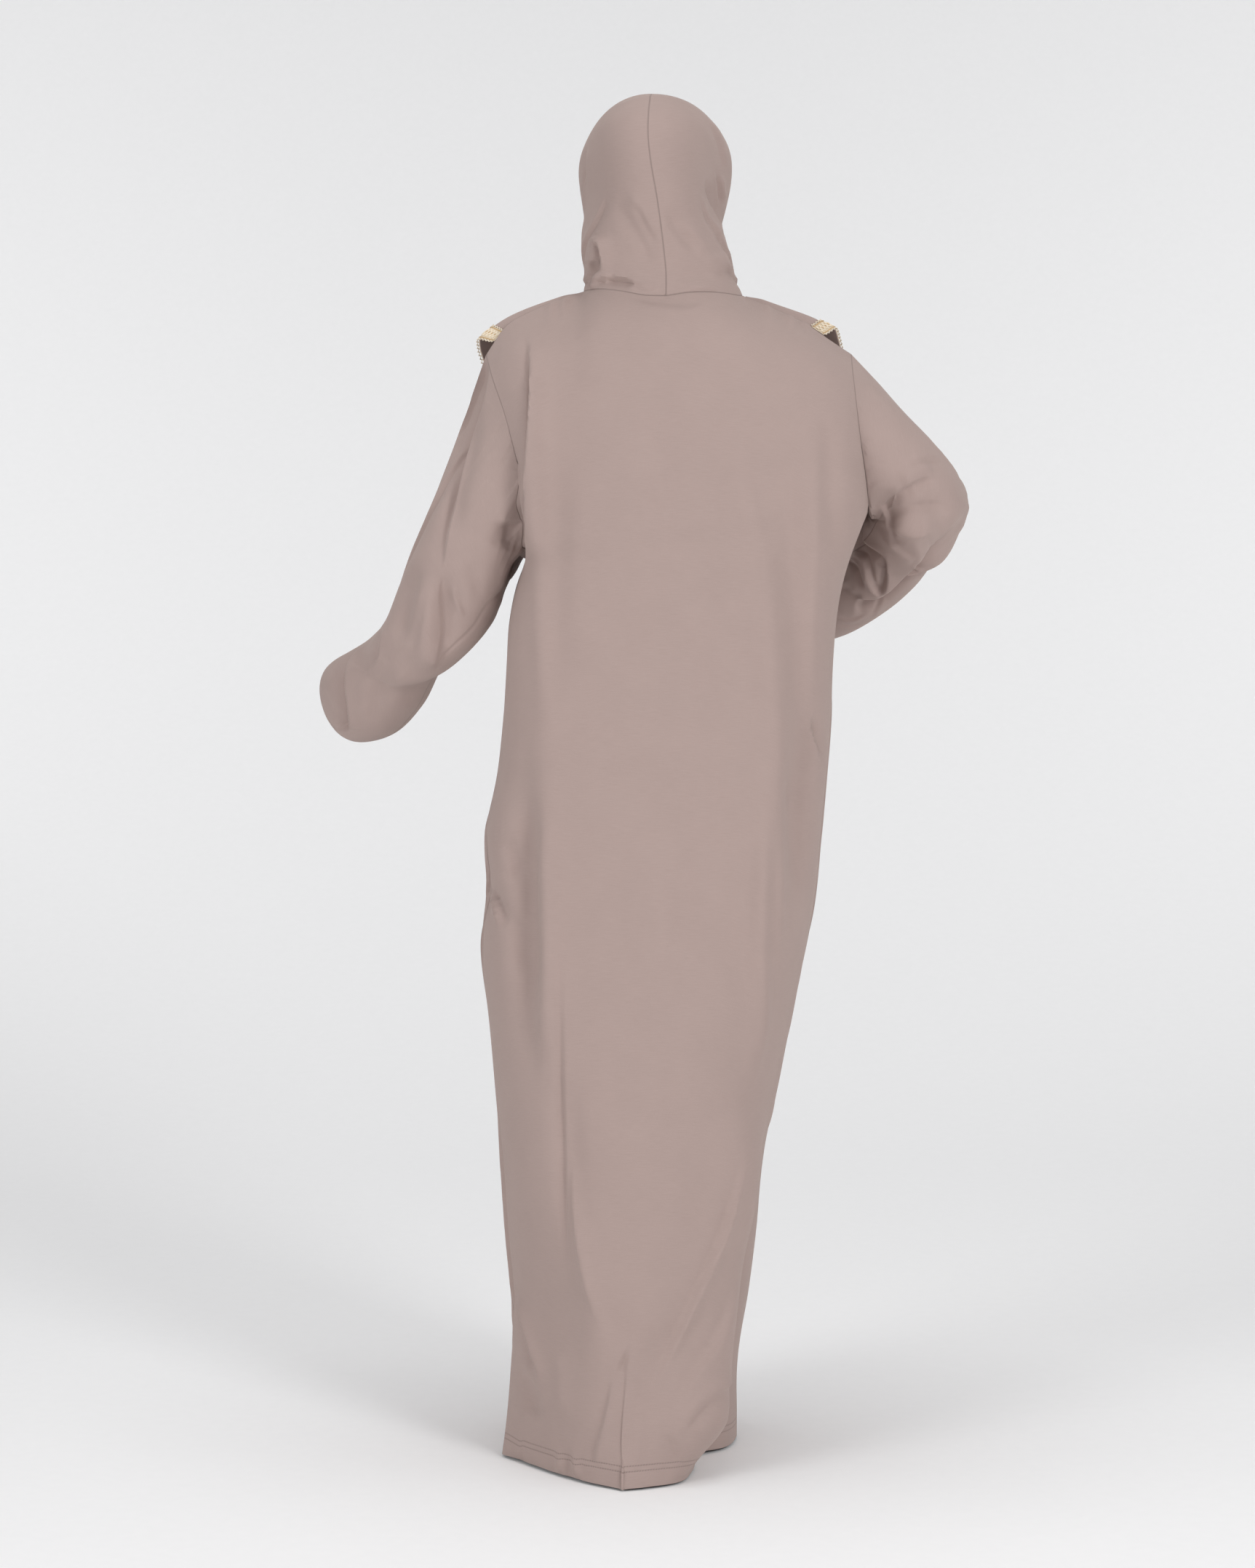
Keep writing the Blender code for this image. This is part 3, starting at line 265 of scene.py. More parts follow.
# Hood, a row for each line from its centre seam, past the side of the head, to its front edge.
# The first rows end at the seam under the chin, the others at the opening for the face.
HOOD_COLUMNS = (
    "seam_x", "seam_y", "seam_z", "left_x", "right_x", "side_y", "side_z",
    "edge_x", "edge_y", "edge_z",
)
HOOD = [
    (-0.008, 0.071, -0.005, 0.0905, -0.1010, 0.000, 0.004, 0.0000, -0.086, -0.047),
    (-0.008, 0.067, 0.022, 0.0900, -0.0920, -0.004, 0.028, 0.0000, -0.094, -0.024),
    (-0.005, 0.072, 0.052, 0.0935, -0.0845, -0.007, 0.054, 0.0000, -0.104, -0.002),
    (-0.001, 0.082, 0.083, 0.0918, -0.0772, -0.008, 0.080, 0.0340, -0.106, 0.014),
    (0.004, 0.092, 0.115, 0.0875, -0.0720, -0.006, 0.105, 0.0500, -0.102, 0.034),
    (0.010, 0.099, 0.148, 0.0892, -0.0728, -0.004, 0.130, 0.0600, -0.098, 0.055),
    (0.0135, 0.097, 0.180, 0.0918, -0.0765, -0.006, 0.152, 0.0660, -0.094, 0.076),
    (0.013, 0.084, 0.208, 0.0925, -0.0800, -0.012, 0.170, 0.0690, -0.092, 0.094),
    (0.011, 0.058, 0.2275, 0.0875, -0.0810, -0.024, 0.185, 0.0695, -0.091, 0.108),
    (0.009, 0.020, 0.238, 0.0775, -0.0765, -0.042, 0.192, 0.0690, -0.090, 0.119),
    (0.007, -0.024, 0.234, 0.0670, -0.0670, -0.062, 0.192, 0.0680, -0.0895, 0.128),
    (0.003, -0.062, 0.219, 0.0560, -0.0550, -0.079, 0.187, 0.0665, -0.0895, 0.1355),
    (0.000, -0.089, 0.196, 0.0440, -0.0440, -0.0905, 0.176, 0.0640, -0.0895, 0.142),
]

# Largest folds: the side they show on, their line there as (across, height), their half width,
# how far they stand out (or in, below zero), and how far their crest leans sideways.
BODY_FOLDS = [
    ("back", [
        (0.149, -0.045), (0.148, -0.12), (0.149, -0.20), (0.148, -0.27), (0.148, -0.325)
    ], 0.015, 0.008, 0.005),
    ("back", [(0.159, -0.520), (0.159, -0.69), (0.158, -0.86), (0.150, -0.97)], 0.020, -0.009, 0.0),
    ("back", [(0.128, -0.350), (0.134, -0.60), (0.133, -0.77), (0.133, -0.95)], 0.022, 0.006, 0.0),
    ("back", [
        (-0.145, -0.400), (-0.133, -0.60), (-0.130, -0.78), (-0.120, -0.92)
    ], 0.024, 0.008, 0.0),
    ("back", [(-0.172, -0.500), (-0.172, -0.62), (-0.165, -0.72)], 0.018, -0.008, 0.0),
    ("back", [(-0.086, -0.120), (-0.088, -0.30), (-0.086, -0.46)], 0.024, 0.005, 0.0),
    ("back", [(-0.188, -0.170), (-0.188, -0.31)], 0.022, 0.005, 0.0),
    ("back", [
        (0.113, -0.900), (0.110, -0.98), (0.106, -1.06), (0.099, -1.12), (0.088, -1.18)
    ], 0.018, -0.007, 0.0),
    ("back", [(0.098, -1.060), (0.086, -1.14), (0.072, -1.22), (0.058, -1.30)], 0.026, 0.009, 0.0),
    ("back", [
        (-0.104, -0.940), (-0.091, -1.03), (-0.073, -1.11), (-0.047, -1.18), (-0.010, -1.26)
    ], 0.024, 0.010, -0.004),
    ("back", [(0.175, -1.200), (0.162, -1.25), (0.152, -1.29), (0.137, -1.34)], 0.020, 0.006, 0.0),
    ("back", [(-0.020, -1.190), (0.010, -1.29), (0.035, -1.41)], 0.024, -0.007, 0.0),
    ("left", [(0.020, -0.640), (0.030, -0.70), (0.040, -0.76)], 0.022, -0.008, 0.0),
    ("right", [
        (0.036, -0.980), (0.044, -1.10), (0.056, -1.22), (0.066, -1.43)
    ], 0.036, -0.031, 0.0),
    ("right", [(0.100, -0.960), (0.116, -1.12), (0.142, -1.27), (0.168, -1.43)], 0.028, 0.013, 0.0),
    ("front", [(0.110, -0.420), (0.118, -0.80), (0.120, -1.43)], 0.026, 0.014, 0.0),
    ("front", [(0.058, -0.560), (0.062, -0.95), (0.070, -1.43)], 0.022, -0.012, 0.0),
    ("front", [(0.012, -0.430), (0.018, -0.85), (0.022, -1.43)], 0.026, 0.015, 0.0),
    ("front", [(-0.034, -0.600), (-0.026, -1.00), (-0.020, -1.43)], 0.020, -0.011, 0.0),
    ("front", [(-0.090, -0.470), (-0.076, -0.90), (-0.060, -1.43)], 0.024, 0.014, 0.0),
    ("front", [(-0.146, -0.420), (-0.126, -0.80), (-0.098, -1.20)], 0.022, -0.009, 0.0),
    ("front", [(0.166, -0.600), (0.160, -0.95), (0.160, -1.43)], 0.022, -0.010, 0.0),
]
SLEEVE_FOLDS = [
    ("back", [(0.216, -0.115), (0.231, -0.19), (0.243, -0.24), (0.254, -0.31)], 0.014, -0.009, 0.0),
    ("back", [(0.262, -0.330), (0.265, -0.39), (0.268, -0.44)], 0.016, -0.010, 0.0),
    ("back", [(0.285, -0.330), (0.284, -0.39), (0.288, -0.46)], 0.020, 0.011, -0.006),
    ("back", [(0.300, -0.320), (0.308, -0.36), (0.310, -0.43)], 0.015, -0.006, 0.0),
    ("back", [(0.345, -0.350), (0.347, -0.38), (0.350, -0.42)], 0.014, 0.006, 0.0),
    ("back", [(0.172, -0.270), (0.178, -0.31)], 0.020, -0.008, 0.0),
    ("back", [
        (-0.254, -0.262), (-0.285, -0.243), (-0.318, -0.222), (-0.342, -0.217)
    ], 0.012, -0.007, 0.0),
    ("back", [
        (-0.254, -0.264), (-0.285, -0.258), (-0.318, -0.253), (-0.358, -0.253)
    ], 0.012, -0.007, 0.0),
    ("back", [(-0.290, -0.232), (-0.330, -0.205)], 0.018, 0.005, 0.0),
    ("back", [(-0.275, -0.275), (-0.310, -0.288), (-0.340, -0.278)], 0.016, 0.006, 0.0),
    ("front", [(0.215, -0.150), (0.250, -0.26), (0.290, -0.36)], 0.022, 0.008, 0.0),
    ("front", [(0.250, -0.340), (0.290, -0.40)], 0.018, -0.008, 0.0),
    ("front", [(-0.296, -0.252), (-0.320, -0.245), (-0.350, -0.235)], 0.016, -0.006, 0.0),
    ("front", [(-0.330, -0.290), (-0.280, -0.345), (-0.230, -0.375)], 0.016, 0.006, 0.0),
]
HOOD_FOLDS = [
    ("back", [(0.074, 0.070), (0.070, 0.050), (0.074, 0.025)], 0.012, 0.005, 0.006),
    ("back", [(0.066, 0.016), (0.045, 0.011), (0.030, 0.008)], 0.010, -0.004, 0.0),
    ("back", [(-0.056, 0.135), (-0.066, 0.105), (-0.074, 0.080)], 0.012, -0.005, 0.0),
    ("back", [(-0.070, 0.050), (-0.082, 0.025)], 0.014, 0.004, 0.0),
    ("front", [(0.070, 0.050), (0.050, 0.005), (0.020, -0.024)], 0.014, 0.005, 0.0),
    ("front", [(-0.070, 0.045), (-0.048, 0.000), (-0.018, -0.026)], 0.014, 0.005, 0.0),
]
FOLD_ENDS = 0.30
FOLD_TURN = 0.45
SEAM_FOLLOW_ROWS = 5.0
SLEEVE_SEAM_ROWS = 5.0
HOOD_SEAM_ROWS = 3.0
HOOD_ROUNDNESS = (1.12, 1.08)
CHIN_HALF_WIDTH = 0.004

# Front cape: its hem from the left shoulder round the chest to the right one
CAPE_HEM = [
    (0.1980, -0.004, -0.0545), (0.1930, -0.046, -0.098), (0.1820, -0.090, -0.170),
    (0.1500, -0.130, -0.236), (0.0850, -0.150, -0.276), (-0.0100, -0.155, -0.290),
    (-0.1050, -0.150, -0.270), (-0.1740, -0.128, -0.224), (-0.2080, -0.088, -0.162),
    (-0.2090, -0.042, -0.094), (-0.1990, -0.004, -0.0465),
]
CAPE_COLUMNS = 30
CAPE_ROW_CROWDING = 1.35
CAPE_END_STEPS = (0.0, 0.006, 0.014, 0.026)
CAPE_MIDDLE_START = 0.042
CAPE_WAVES = 6.0
CAPE_WAVE_START = 0.6
CAPE_WAVE_HEIGHT = 0.0050
CAPE_FLARE = 0.0060
CAPE_END_PUFFS = (0.0090, 0.0050)
CAPE_END_SPAN = 0.055
CAPE_SHOULDER_PUFF = 0.0050
CAPE_SHOULDER_SPAN = 0.110
CAPE_NECK_SPREAD = 1.03
CAPE_SEAM_SHARE = 0.018
CAPE_PUFF_PLACE = 0.03
CAPE_SEWN_GAP = 0.0012
BELOW_NECK_SEAM = np.array([0.0, -0.004, -0.004])
CHEST_SWELL = np.array([0.0, -0.03, 0.01])
OUTSIDE_THE_CHEST = np.array([0.0, -0.2, 0.1])

# Creases that the photograph shows, all on the dress's back. Each is a line down the cloth, given
# in the photograph's pixels. Then come the height and width, in millimetres, of the cloth
# on the line's right hand, the same on its left, as someone sees them who walks down the line,
# the width of the edge between, and the shares of the line over which it starts and ends.
EASY = (0.3, 0.3)
BODY_SEEN = [
    # Upright crease on the back's left, low on its left hand in the picture
    ([(723, 452), (727, 491), (725, 565), (720, 661), (714, 713), (711, 795)], (-6, 9), (3, 14),
     2.0, (0.25, 0.12)),
    # Broad soft waves of the back
    ([(1004, 600), (1034, 717), (1050, 800), (1060, 942), (1064, 1073)], (2.4, 18), (2.4, 16), 3, EASY),
    ([(1082, 590), (1090, 792), (1101, 942), (1100, 1100), (1096, 1230)], (-3.0, 18), (-3.0, 15), 3, EASY),
    ([(1124, 690), (1116, 886), (1106, 1020)], (1.6, 10), (1.6, 12), 3, EASY),
    ([(764, 600), (767, 800), (758, 1000)], (-1.8, 14), (-1.8, 18), 3, EASY),
    ([(733, 560), (740, 800), (750, 1019)], (1.6, 11), (1.6, 12), 3, EASY),
    ([(905, 500), (912, 700), (925, 900)], (-1.2, 20), (-1.2, 18), 3, EASY),
    ([(850, 560), (893, 700), (936, 850), (965, 1000)], (1.4, 20), (1.4, 20), 3, EASY),
    ([(1139, 560), (1143, 700), (1150, 790)], (-2.2, 14), (-2.2, 12), 3, EASY),
    ([(975, 900), (985, 1050), (990, 1200)], (-1.3, 16), (-1.3, 16), 3, EASY),
    # Crescent under the neck seam
    ([(862, 409), (900, 419), (937, 423), (979, 411)], (0.6, 7), (-1.0, 7), 3.5, EASY),
    ([(899, 411), (920, 418), (945, 414)], (0.4, 5), (-0.7, 5), 3.0, EASY),
    # Gathers along the shoulder seams
    ([(777, 401), (775, 420), (774, 440)], (1.6, 5), (1.6, 5), 2, (0.0, 0.7)),
    ([(757, 409), (757, 428), (757, 450)], (1.4, 6), (1.4, 6), 2, (0.0, 0.7)),
    ([(1057, 414), (1058, 430), (1060, 450)], (1.4, 5), (1.4, 5), 2, (0.0, 0.7)),
    ([(1088, 422), (1088, 440), (1090, 458)], (1.4, 5), (1.4, 5), 2, (0.0, 0.7)),
    ([(1110, 430), (1110, 446), (1110, 462)], (1.6, 4), (1.6, 4), 2, (0.0, 0.7)),
    # Side of the skirt on the left
    ([(694, 1150), (709, 1194), (699, 1216)], (-2.6, 9), (-2.6, 9), 3, EASY),
    ([(672, 1214), (682, 1243), (690, 1278)], (2.6, 6), (-2.4, 10), 2.5, EASY),
    ([(700, 1240), (714, 1300), (712, 1350)], (-2.4, 12), (-2.4, 12), 3, EASY),
    # Trough, ridge and line on the skirt's left
    ([(727, 1081), (727, 1187), (733, 1299), (727, 1420)], (-3.2, 14), (-3.2, 12), 3, EASY),
    ([(749, 1080), (748, 1187), (751, 1336), (749, 1500)], (2.6, 10), (2.6, 12), 3, EASY),
    ([(773, 1225), (773, 1400), (775, 1520), (778, 1600), (781, 1720), (783, 1770)], (-1.6, 8),
     (0.9, 12), 3, (0.6, 0.3)),
    ([(785, 1580), (789, 1650), (796, 1720), (812, 1795), (831, 1850)], (1.5, 8), (3.4, 10), 3, EASY),
    # Ridge, bands and thin ridge on the skirt's right
    ([(1048, 1090), (1049, 1157), (1046, 1298), (1046, 1410), (1030, 1520)], (3.4, 13), (3.4, 10), 3, EASY),
    ([(1090, 1040), (1094, 1150), (1094, 1260)], (-2.4, 10), (-2.4, 10), 3, EASY),
    ([(1073, 1142), (1072, 1230), (1070, 1320)], (1.4, 6), (1.4, 7), 2.5, EASY),
    ([(1114, 985), (1122, 1018), (1131, 1046)], (1.8, 5), (-3.0, 8), 2.5, EASY),
    ([(945, 1150), (942, 1240), (938, 1330)], (-1.4, 15), (-1.4, 15), 3, EASY),
    ([(905, 1179), (901, 1320), (894, 1460)], (1.2, 16), (1.2, 16), 3, EASY),
    # Drape that runs down from the right
    ([(1027, 1575), (1012, 1640), (997, 1690), (955, 1780), (919, 1849), (889, 1924)], (-1.5, 14),
     (4.2, 10), 3, EASY),
    ([(1010, 1751), (975, 1830), (940, 1890), (914, 1950)], (-1.2, 9), (1.6, 9), 3, EASY),
    ([(985, 1850), (950, 1920), (925, 1975)], (1.4, 8), (-1.4, 9), 3, EASY),
    # Ridge over a hollow, low on the left
    ([(706, 1770), (716, 1815), (724, 1848), (741, 1900)], (-3.6, 14), (2.6, 11), 3, EASY),
    ([(716, 1881), (726, 1915), (735, 1955)], (-3.2, 11), (-3.2, 11), 3, EASY),
    ([(765, 1850), (772, 1900), (770, 1950)], (1.4, 10), (1.4, 10), 3, EASY),
    # Break above the hem
    ([(868, 1851), (852, 1875), (838, 1893)], (0.8, 8), (-1.6, 8), 3.5, (0.4, 0.4)),
    ([(838, 1891), (832, 1921), (820, 1975), (811, 2010)], (-1.0, 10), (1.4, 10), 4, (0.3, 0.1)),
    ([(877, 1950), (877, 1989), (880, 2020)], (1.3, 7), (1.3, 7), 3, EASY),
    ([(905, 1960), (925, 1990), (935, 2015)], (-1.3, 8), (1.0, 8), 3, EASY),
    # Small waves in the hem's band
    ([(766, 1990), (768, 2008), (769, 2024)], (1.3, 4), (1.3, 4), 2, (0.5, 0.0)),
    ([(778, 1992), (780, 2010), (781, 2028)], (-1.2, 4), (-1.2, 4), 2, (0.5, 0.0)),
    ([(788, 1994), (790, 2012), (792, 2032)], (1.2, 4), (1.2, 4), 2, (0.5, 0.0)),
    ([(806, 1998), (809, 2018), (811, 2040)], (1.6, 4), (-1.2, 5), 2, (0.5, 0.0)),
    ([(846, 2010), (850, 2030), (852, 2046)], (-1.0, 5), (1.0, 5), 2, (0.5, 0.0)),
    ([(716, 1990), (716, 2003), (716, 2014)], (1.0, 5), (-1.0, 5), 2, (0.5, 0.0)),
]
SLEEVE_SEEN = [
    # Left sleeve: its long crease, in two stretches
    ([(689, 463), (677, 491), (669, 521), (662, 558), (643, 613), (633, 656), (625, 689), (614, 735),
     (608, 790), (605, 830)], (-9.0, 22), (2.4, 12), 3.0, (0.12, 0.45)),
    ([(616, 715), (612, 745), (608, 790), (604, 820), (607, 857), (605, 888), (600, 923)], (2.4, 18),
     (-1.5, 13), 3.0, (0.55, 0.05)),
    ([(579, 765), (567, 815), (553, 860), (545, 891)], (-3.2, 9), (-3.2, 9), 3, EASY),
    ([(589, 790), (575, 850), (563, 915)], (-2.4, 7), (-2.4, 8), 3, EASY),
    ([(556, 905), (548, 950), (535, 985)], (1.8, 12), (1.8, 12), 3, EASY),
    # Beside the long crease
    ([(622, 800), (632, 830), (640, 850)], (2.4, 7), (-1.0, 8), 2.5, EASY),
    ([(640, 770), (655, 800), (660, 830)], (-1.6, 8), (-1.6, 8), 3, EASY),
    # Wrinkles under the armhole
    ([(712, 730), (703, 762), (690, 790), (683, 812)], (-1.2, 9), (0.8, 6), 3.0, (0.4, 0.3)),
    ([(713, 765), (700, 790), (689, 818)], (0.8, 5), (-1.2, 6), 3.0, (0.4, 0.4)),
    ([(704, 700), (692, 745), (680, 785)], (0.8, 9), (-0.8, 10), 3, (0.4, 0.4)),
    ([(706, 790), (692, 810), (672, 830), (650, 863), (625, 887), (607, 907)], (-1.4, 2), (-1.4, 2),
     1, (0.1, 0.0)),
    # Lower sleeve and its end
    ([(528, 858), (521, 881), (518, 905), (508, 920)], (-2.6, 8), (2.4, 7), 2.5, EASY),
    ([(505, 882), (487, 897), (475, 918), (473, 942), (476, 976), (480, 1006)], (-9.0, 14), (2.4, 12),
     3.0, (0.15, 0.05)),
    ([(500, 925), (497, 960), (503, 995)], (1.6, 9), (1.6, 9), 3, EASY),
    ([(540, 900), (520, 950), (512, 1000)], (-1.6, 10), (-1.6, 10), 3, EASY),
    # Gathers beside the left armhole seam
    ([(700, 570), (690, 580), (680, 588)], (0.8, 4), (0.8, 4), 2, (0.0, 0.7)),
    ([(708, 610), (696, 618), (686, 624)], (0.8, 4), (0.8, 4), 2, (0.0, 0.7)),
    ([(714, 650), (703, 656), (692, 660)], (0.8, 4), (0.8, 4), 2, (0.0, 0.7)),
    # Right sleeve: creases that run out from the armhole
    ([(1193, 707), (1220, 686), (1246, 670), (1268, 659), (1290, 655)], (-2.8, 7), (1.4, 9),
     3.0, (0.7, 0.25)),
    ([(1193, 709), (1233, 698), (1272, 691), (1294, 692), (1308, 694)], (-2.2, 7), (1.2, 8),
     3.0, (0.7, 0.25)),
    ([(1184, 510), (1229, 567), (1268, 608), (1290, 630)], (1.6, 14), (1.4, 9), 3, (0.3, 0.5)),
    ([(1246, 640), (1270, 632), (1296, 634)], (-1.6, 7), (1.2, 7), 2.5, EASY),
    ([(1210, 716), (1232, 736), (1262, 741), (1291, 732)], (-1.4, 7), (1.4, 8), 2.5, EASY),
    ([(1205, 712), (1221, 745), (1252, 752)], (1.2, 6), (-1.2, 6), 2.5, EASY),
    # Gathers beside the right armhole seam
    ([(1182, 560), (1192, 558), (1203, 560)], (0.7, 4), (0.7, 4), 2, (0.0, 0.7)),
    ([(1188, 610), (1198, 607), (1208, 608)], (0.8, 4), (-0.8, 4), 2, (0.0, 0.7)),
    ([(1190, 623), (1200, 620), (1210, 623)], (0.8, 4), (0.8, 4), 2, (0.0, 0.7)),
    ([(1193, 645), (1208, 640), (1226, 640)], (0.8, 4), (-0.8, 4), 2, (0.0, 0.7)),
    ([(1196, 668), (1206, 663), (1219, 662)], (0.9, 4), (-0.9, 4), 2, (0.0, 0.7)),
    # Folds crushed under the right sleeve's bend
    ([(1172, 729), (1188, 747), (1203, 758), (1214, 767), (1217, 786), (1216, 805), (1212, 820)],
     (-7.0, 8), (2.4, 8), 1.8, (0.1, 0.1)),
    ([(1169, 757), (1186, 765), (1192, 779), (1196, 797), (1202, 812), (1212, 820)],
     (3.0, 5), (-5.0, 5), 1.8, (0.1, 0.1)),
    ([(1165, 768), (1178, 778), (1184, 795), (1190, 812)], (-4.5, 6), (2.0, 5), 1.8, (0.1, 0.3)),
    ([(1156, 800), (1166, 818), (1185, 826)], (-3.5, 7), (-3.5, 7), 2.5, EASY),
    ([(1332, 706), (1315, 732), (1283, 762), (1250, 790), (1225, 814), (1209, 825),
     (1175, 827)], (1.0, 8), (-11.0, 12), 3.0, (0.28, 0.05)),
    ([(1262.25, 799), (1256, 818), (1245, 832)], (-1.4, 4), (1.0, 5), 2.0, EASY),
    ([(1216, 826), (1208, 838), (1198, 850)], (-1.6, 4), (1.0, 5), 2.0, EASY),
    ([(1150, 850), (1172, 852), (1192, 846)], (1.4, 4), (-1.6, 4), 2.0, EASY),
    ([(1150, 862), (1170, 863), (1188, 858)], (1.2, 3), (-1.4, 4), 2.0, EASY),
]
HOOD_SEEN = [
    ([(841, 268), (859, 300), (882, 338), (895, 367), (906, 383)], (-1.5, 8), (-1.7, 9), 3, EASY),
    ([(862, 262), (885, 295), (903, 330)], (1.4, 7), (1.4, 7), 3, EASY),
    ([(869, 275), (888, 310), (904, 345)], (-1.2, 5), (-1.2, 5), 2.5, EASY),
    ([(915, 286), (938, 322), (963, 350)], (-2.0, 8), (-2.0, 8), 3, EASY),
    ([(940, 300), (965, 335), (985, 372)], (1.4, 8), (1.4, 8), 3, EASY),
    # Low on the left: a lobe over a recess, then the roll above the seam
    ([(803, 332), (820, 338), (823, 349), (823, 371), (815, 385), (808, 397)], (-5.0, 9), (2.2, 10),
     2.2, (0.2, 0.1)),
    ([(812, 390), (834, 383), (856, 384), (881, 391), (900, 396)], (-2.6, 6), (2.2, 9), 2.6, (0.15, 0.5)),
    ([(872, 391), (890, 399), (910, 396)], (-0.8, 5), (0.6, 6), 3.0, EASY),
    ([(812, 345), (812, 365), (808, 385)], (-2.0, 6), (-2.0, 6), 2.5, EASY),
    # Right: a fold over a hollow, and a thin edge
    ([(968, 240), (969, 258), (973, 276), (983, 295), (990, 309), (996.25, 325.5)], (1.6, 12), (-4.5, 9),
     2.2, (0.5, 0.1)),
    ([(989, 238), (991, 258), (994, 285)], (-1.5, 5), (2.2, 5), 2.0, EASY),
    # Left and crown: thin outer folds
    ([(808, 200), (805, 222), (807, 245), (805, 268)], (-1.4, 6), (1.0, 7), 2.0, EASY),
    ([(975, 160), (991, 202), (996, 236)], (-1.2, 8), (1.4, 8), 2.5, EASY),
    ([(841, 148), (872, 136), (893, 132), (923, 134), (953, 144)], (1.0, 7), (-1.0, 6), 2.5, EASY),
    ([(920, 383), (950, 378), (985, 380)], (-1.0, 6), (-1.0, 6), 2.5, EASY),
    ([(935, 396), (962, 394), (990, 396)], (0.9, 4), (0.9, 4), 2.0, EASY),
]

# A crease is made deeper than it looks in the photograph, by one factor for the soft ones, which
# are lower than SOFT_CREASE, and one for the others. No edge is narrower than its region's least.
SOFT_CREASE = 4.0
CREASE_GAINS = {"body": (2.3, 1.5), "sleeve": (1.2, 1.2), "hood": (1.8, 1.8)}
LEAST_EDGES = {"body": 2.0, "sleeve": 3.0, "hood": 2.4}
MILLIMETRES_PER_METRE = 1000.0
CREASE_TURN = 0.30
CREASE_STEPS = 3

# Creases that the photograph doesn't show well or at all, in metres. Each has the side that it is
# on and its line's points, as x (back, front) or y (left, right) and z, and then the same sizes
# as above.
BODY_HIDDEN = [
    ("front", [(0.075, -0.62), (0.083, -0.85), (0.080, -1.10)],
     (0.003, 0.016), (-0.003, 0.014), 0.003, EASY),
    ("front", [(-0.060, -0.52), (-0.066, -0.80), (-0.058, -1.05)],
     (0.003, 0.014), (0.003, 0.014), 0.003, EASY),
    ("front", [(0.015, -0.60), (0.020, -0.90), (0.028, -1.25)],
     (-0.003, 0.016), (0.003, 0.018), 0.003, (0.3, 0.2)),
    ("front", [(0.110, -0.95), (0.125, -1.15), (0.150, -1.38)],
     (0.003, 0.012), (-0.003, 0.012), 0.003, (0.3, 0.1)),
    ("front", [(-0.030, -1.00), (-0.050, -1.20), (-0.060, -1.38)],
     (-0.003, 0.012), (0.003, 0.012), 0.003, (0.3, 0.1)),
    ("front", [(-0.130, -0.42), (-0.125, -0.60), (-0.115, -0.80)],
     (0.003, 0.012), (-0.002, 0.012), 0.003, EASY),
    ("front", [(0.120, -0.42), (0.130, -0.58), (0.128, -0.75)],
     (-0.003, 0.012), (0.003, 0.012), 0.003, EASY),
    ("front", [(0.060, -1.33), (0.055, -1.37), (0.062, -1.41)],
     (0.002, 0.008), (-0.002, 0.008), 0.003, (0.3, 0.0)),
    ("right", [(0.124, -1.12), (0.140, -1.27), (0.150, -1.415)],
     (0.038, 0.036), (0.038, 0.036), 0.003, (0.75, 0.28)),
    ("back", [(0.047, -1.16), (0.047, -1.30), (0.047, -1.415)],
     (-0.011, 0.030), (-0.011, 0.030), 0.003, (0.5, 0.0)),
    ("left", [(0.010, -0.42), (0.000, -0.62), (0.015, -0.90)],
     (0.002, 0.012), (-0.003, 0.012), 0.003, EASY),
    ("left", [(-0.050, -0.80), (-0.045, -1.00), (-0.055, -1.30)],
     (-0.003, 0.014), (0.003, 0.014), 0.003, EASY),
    ("left", [(0.050, -0.95), (0.040, -1.10), (0.020, -1.32)],
     (0.003, 0.012), (-0.002, 0.012), 0.003, EASY),
    ("right", [(0.000, -0.40), (0.012, -0.60), (0.000, -0.88)],
     (-0.003, 0.012), (0.002, 0.012), 0.003, EASY),
    ("right", [(0.045, -0.75), (0.050, -0.95), (0.040, -1.20)],
     (0.003, 0.014), (-0.003, 0.012), 0.003, EASY),
    ("right", [(-0.060, -0.60), (-0.055, -0.90), (-0.065, -1.15)],
     (0.003, 0.014), (0.003, 0.014), 0.003, EASY),
]
SLEEVE_HIDDEN = [
    ("front", [(0.215, -0.16), (0.245, -0.24), (0.290, -0.35)],
     (-0.003, 0.012), (0.003, 0.014), 0.003, EASY),
    ("front", [(0.255, -0.30), (0.300, -0.36), (0.350, -0.40)],
     (0.003, 0.010), (-0.004, 0.010), 0.003, EASY),
    ("front", [(0.300, -0.42), (0.335, -0.46), (0.380, -0.48)],
     (-0.003, 0.010), (0.003, 0.010), 0.003, EASY),
    ("front", [(-0.235, -0.12), (-0.262, -0.17), (-0.290, -0.21)],
     (0.003, 0.012), (-0.002, 0.010), 0.003, EASY),
    ("left", [(0.040, -0.15), (0.020, -0.26), (-0.020, -0.36)],
     (0.002, 0.012), (-0.003, 0.012), 0.003, EASY),
    ("left", [(-0.040, -0.33), (-0.090, -0.39), (-0.140, -0.43)],
     (-0.003, 0.010), (0.003, 0.010), 0.003, EASY),
    ("right", [(0.000, -0.205), (-0.015, -0.25), (-0.012, -0.29), (-0.040, -0.335)],
     (-0.016, 0.032), (-0.016, 0.032), 0.003, (0.7, 0.25)),
    ("right", [(0.035, -0.12), (0.020, -0.18), (-0.015, -0.24)],
     (0.002, 0.010), (-0.003, 0.010), 0.003, EASY),
    ("right", [(-0.020, -0.24), (-0.080, -0.28), (-0.130, -0.33)],
     (0.003, 0.010), (-0.003, 0.010), 0.003, EASY),
]
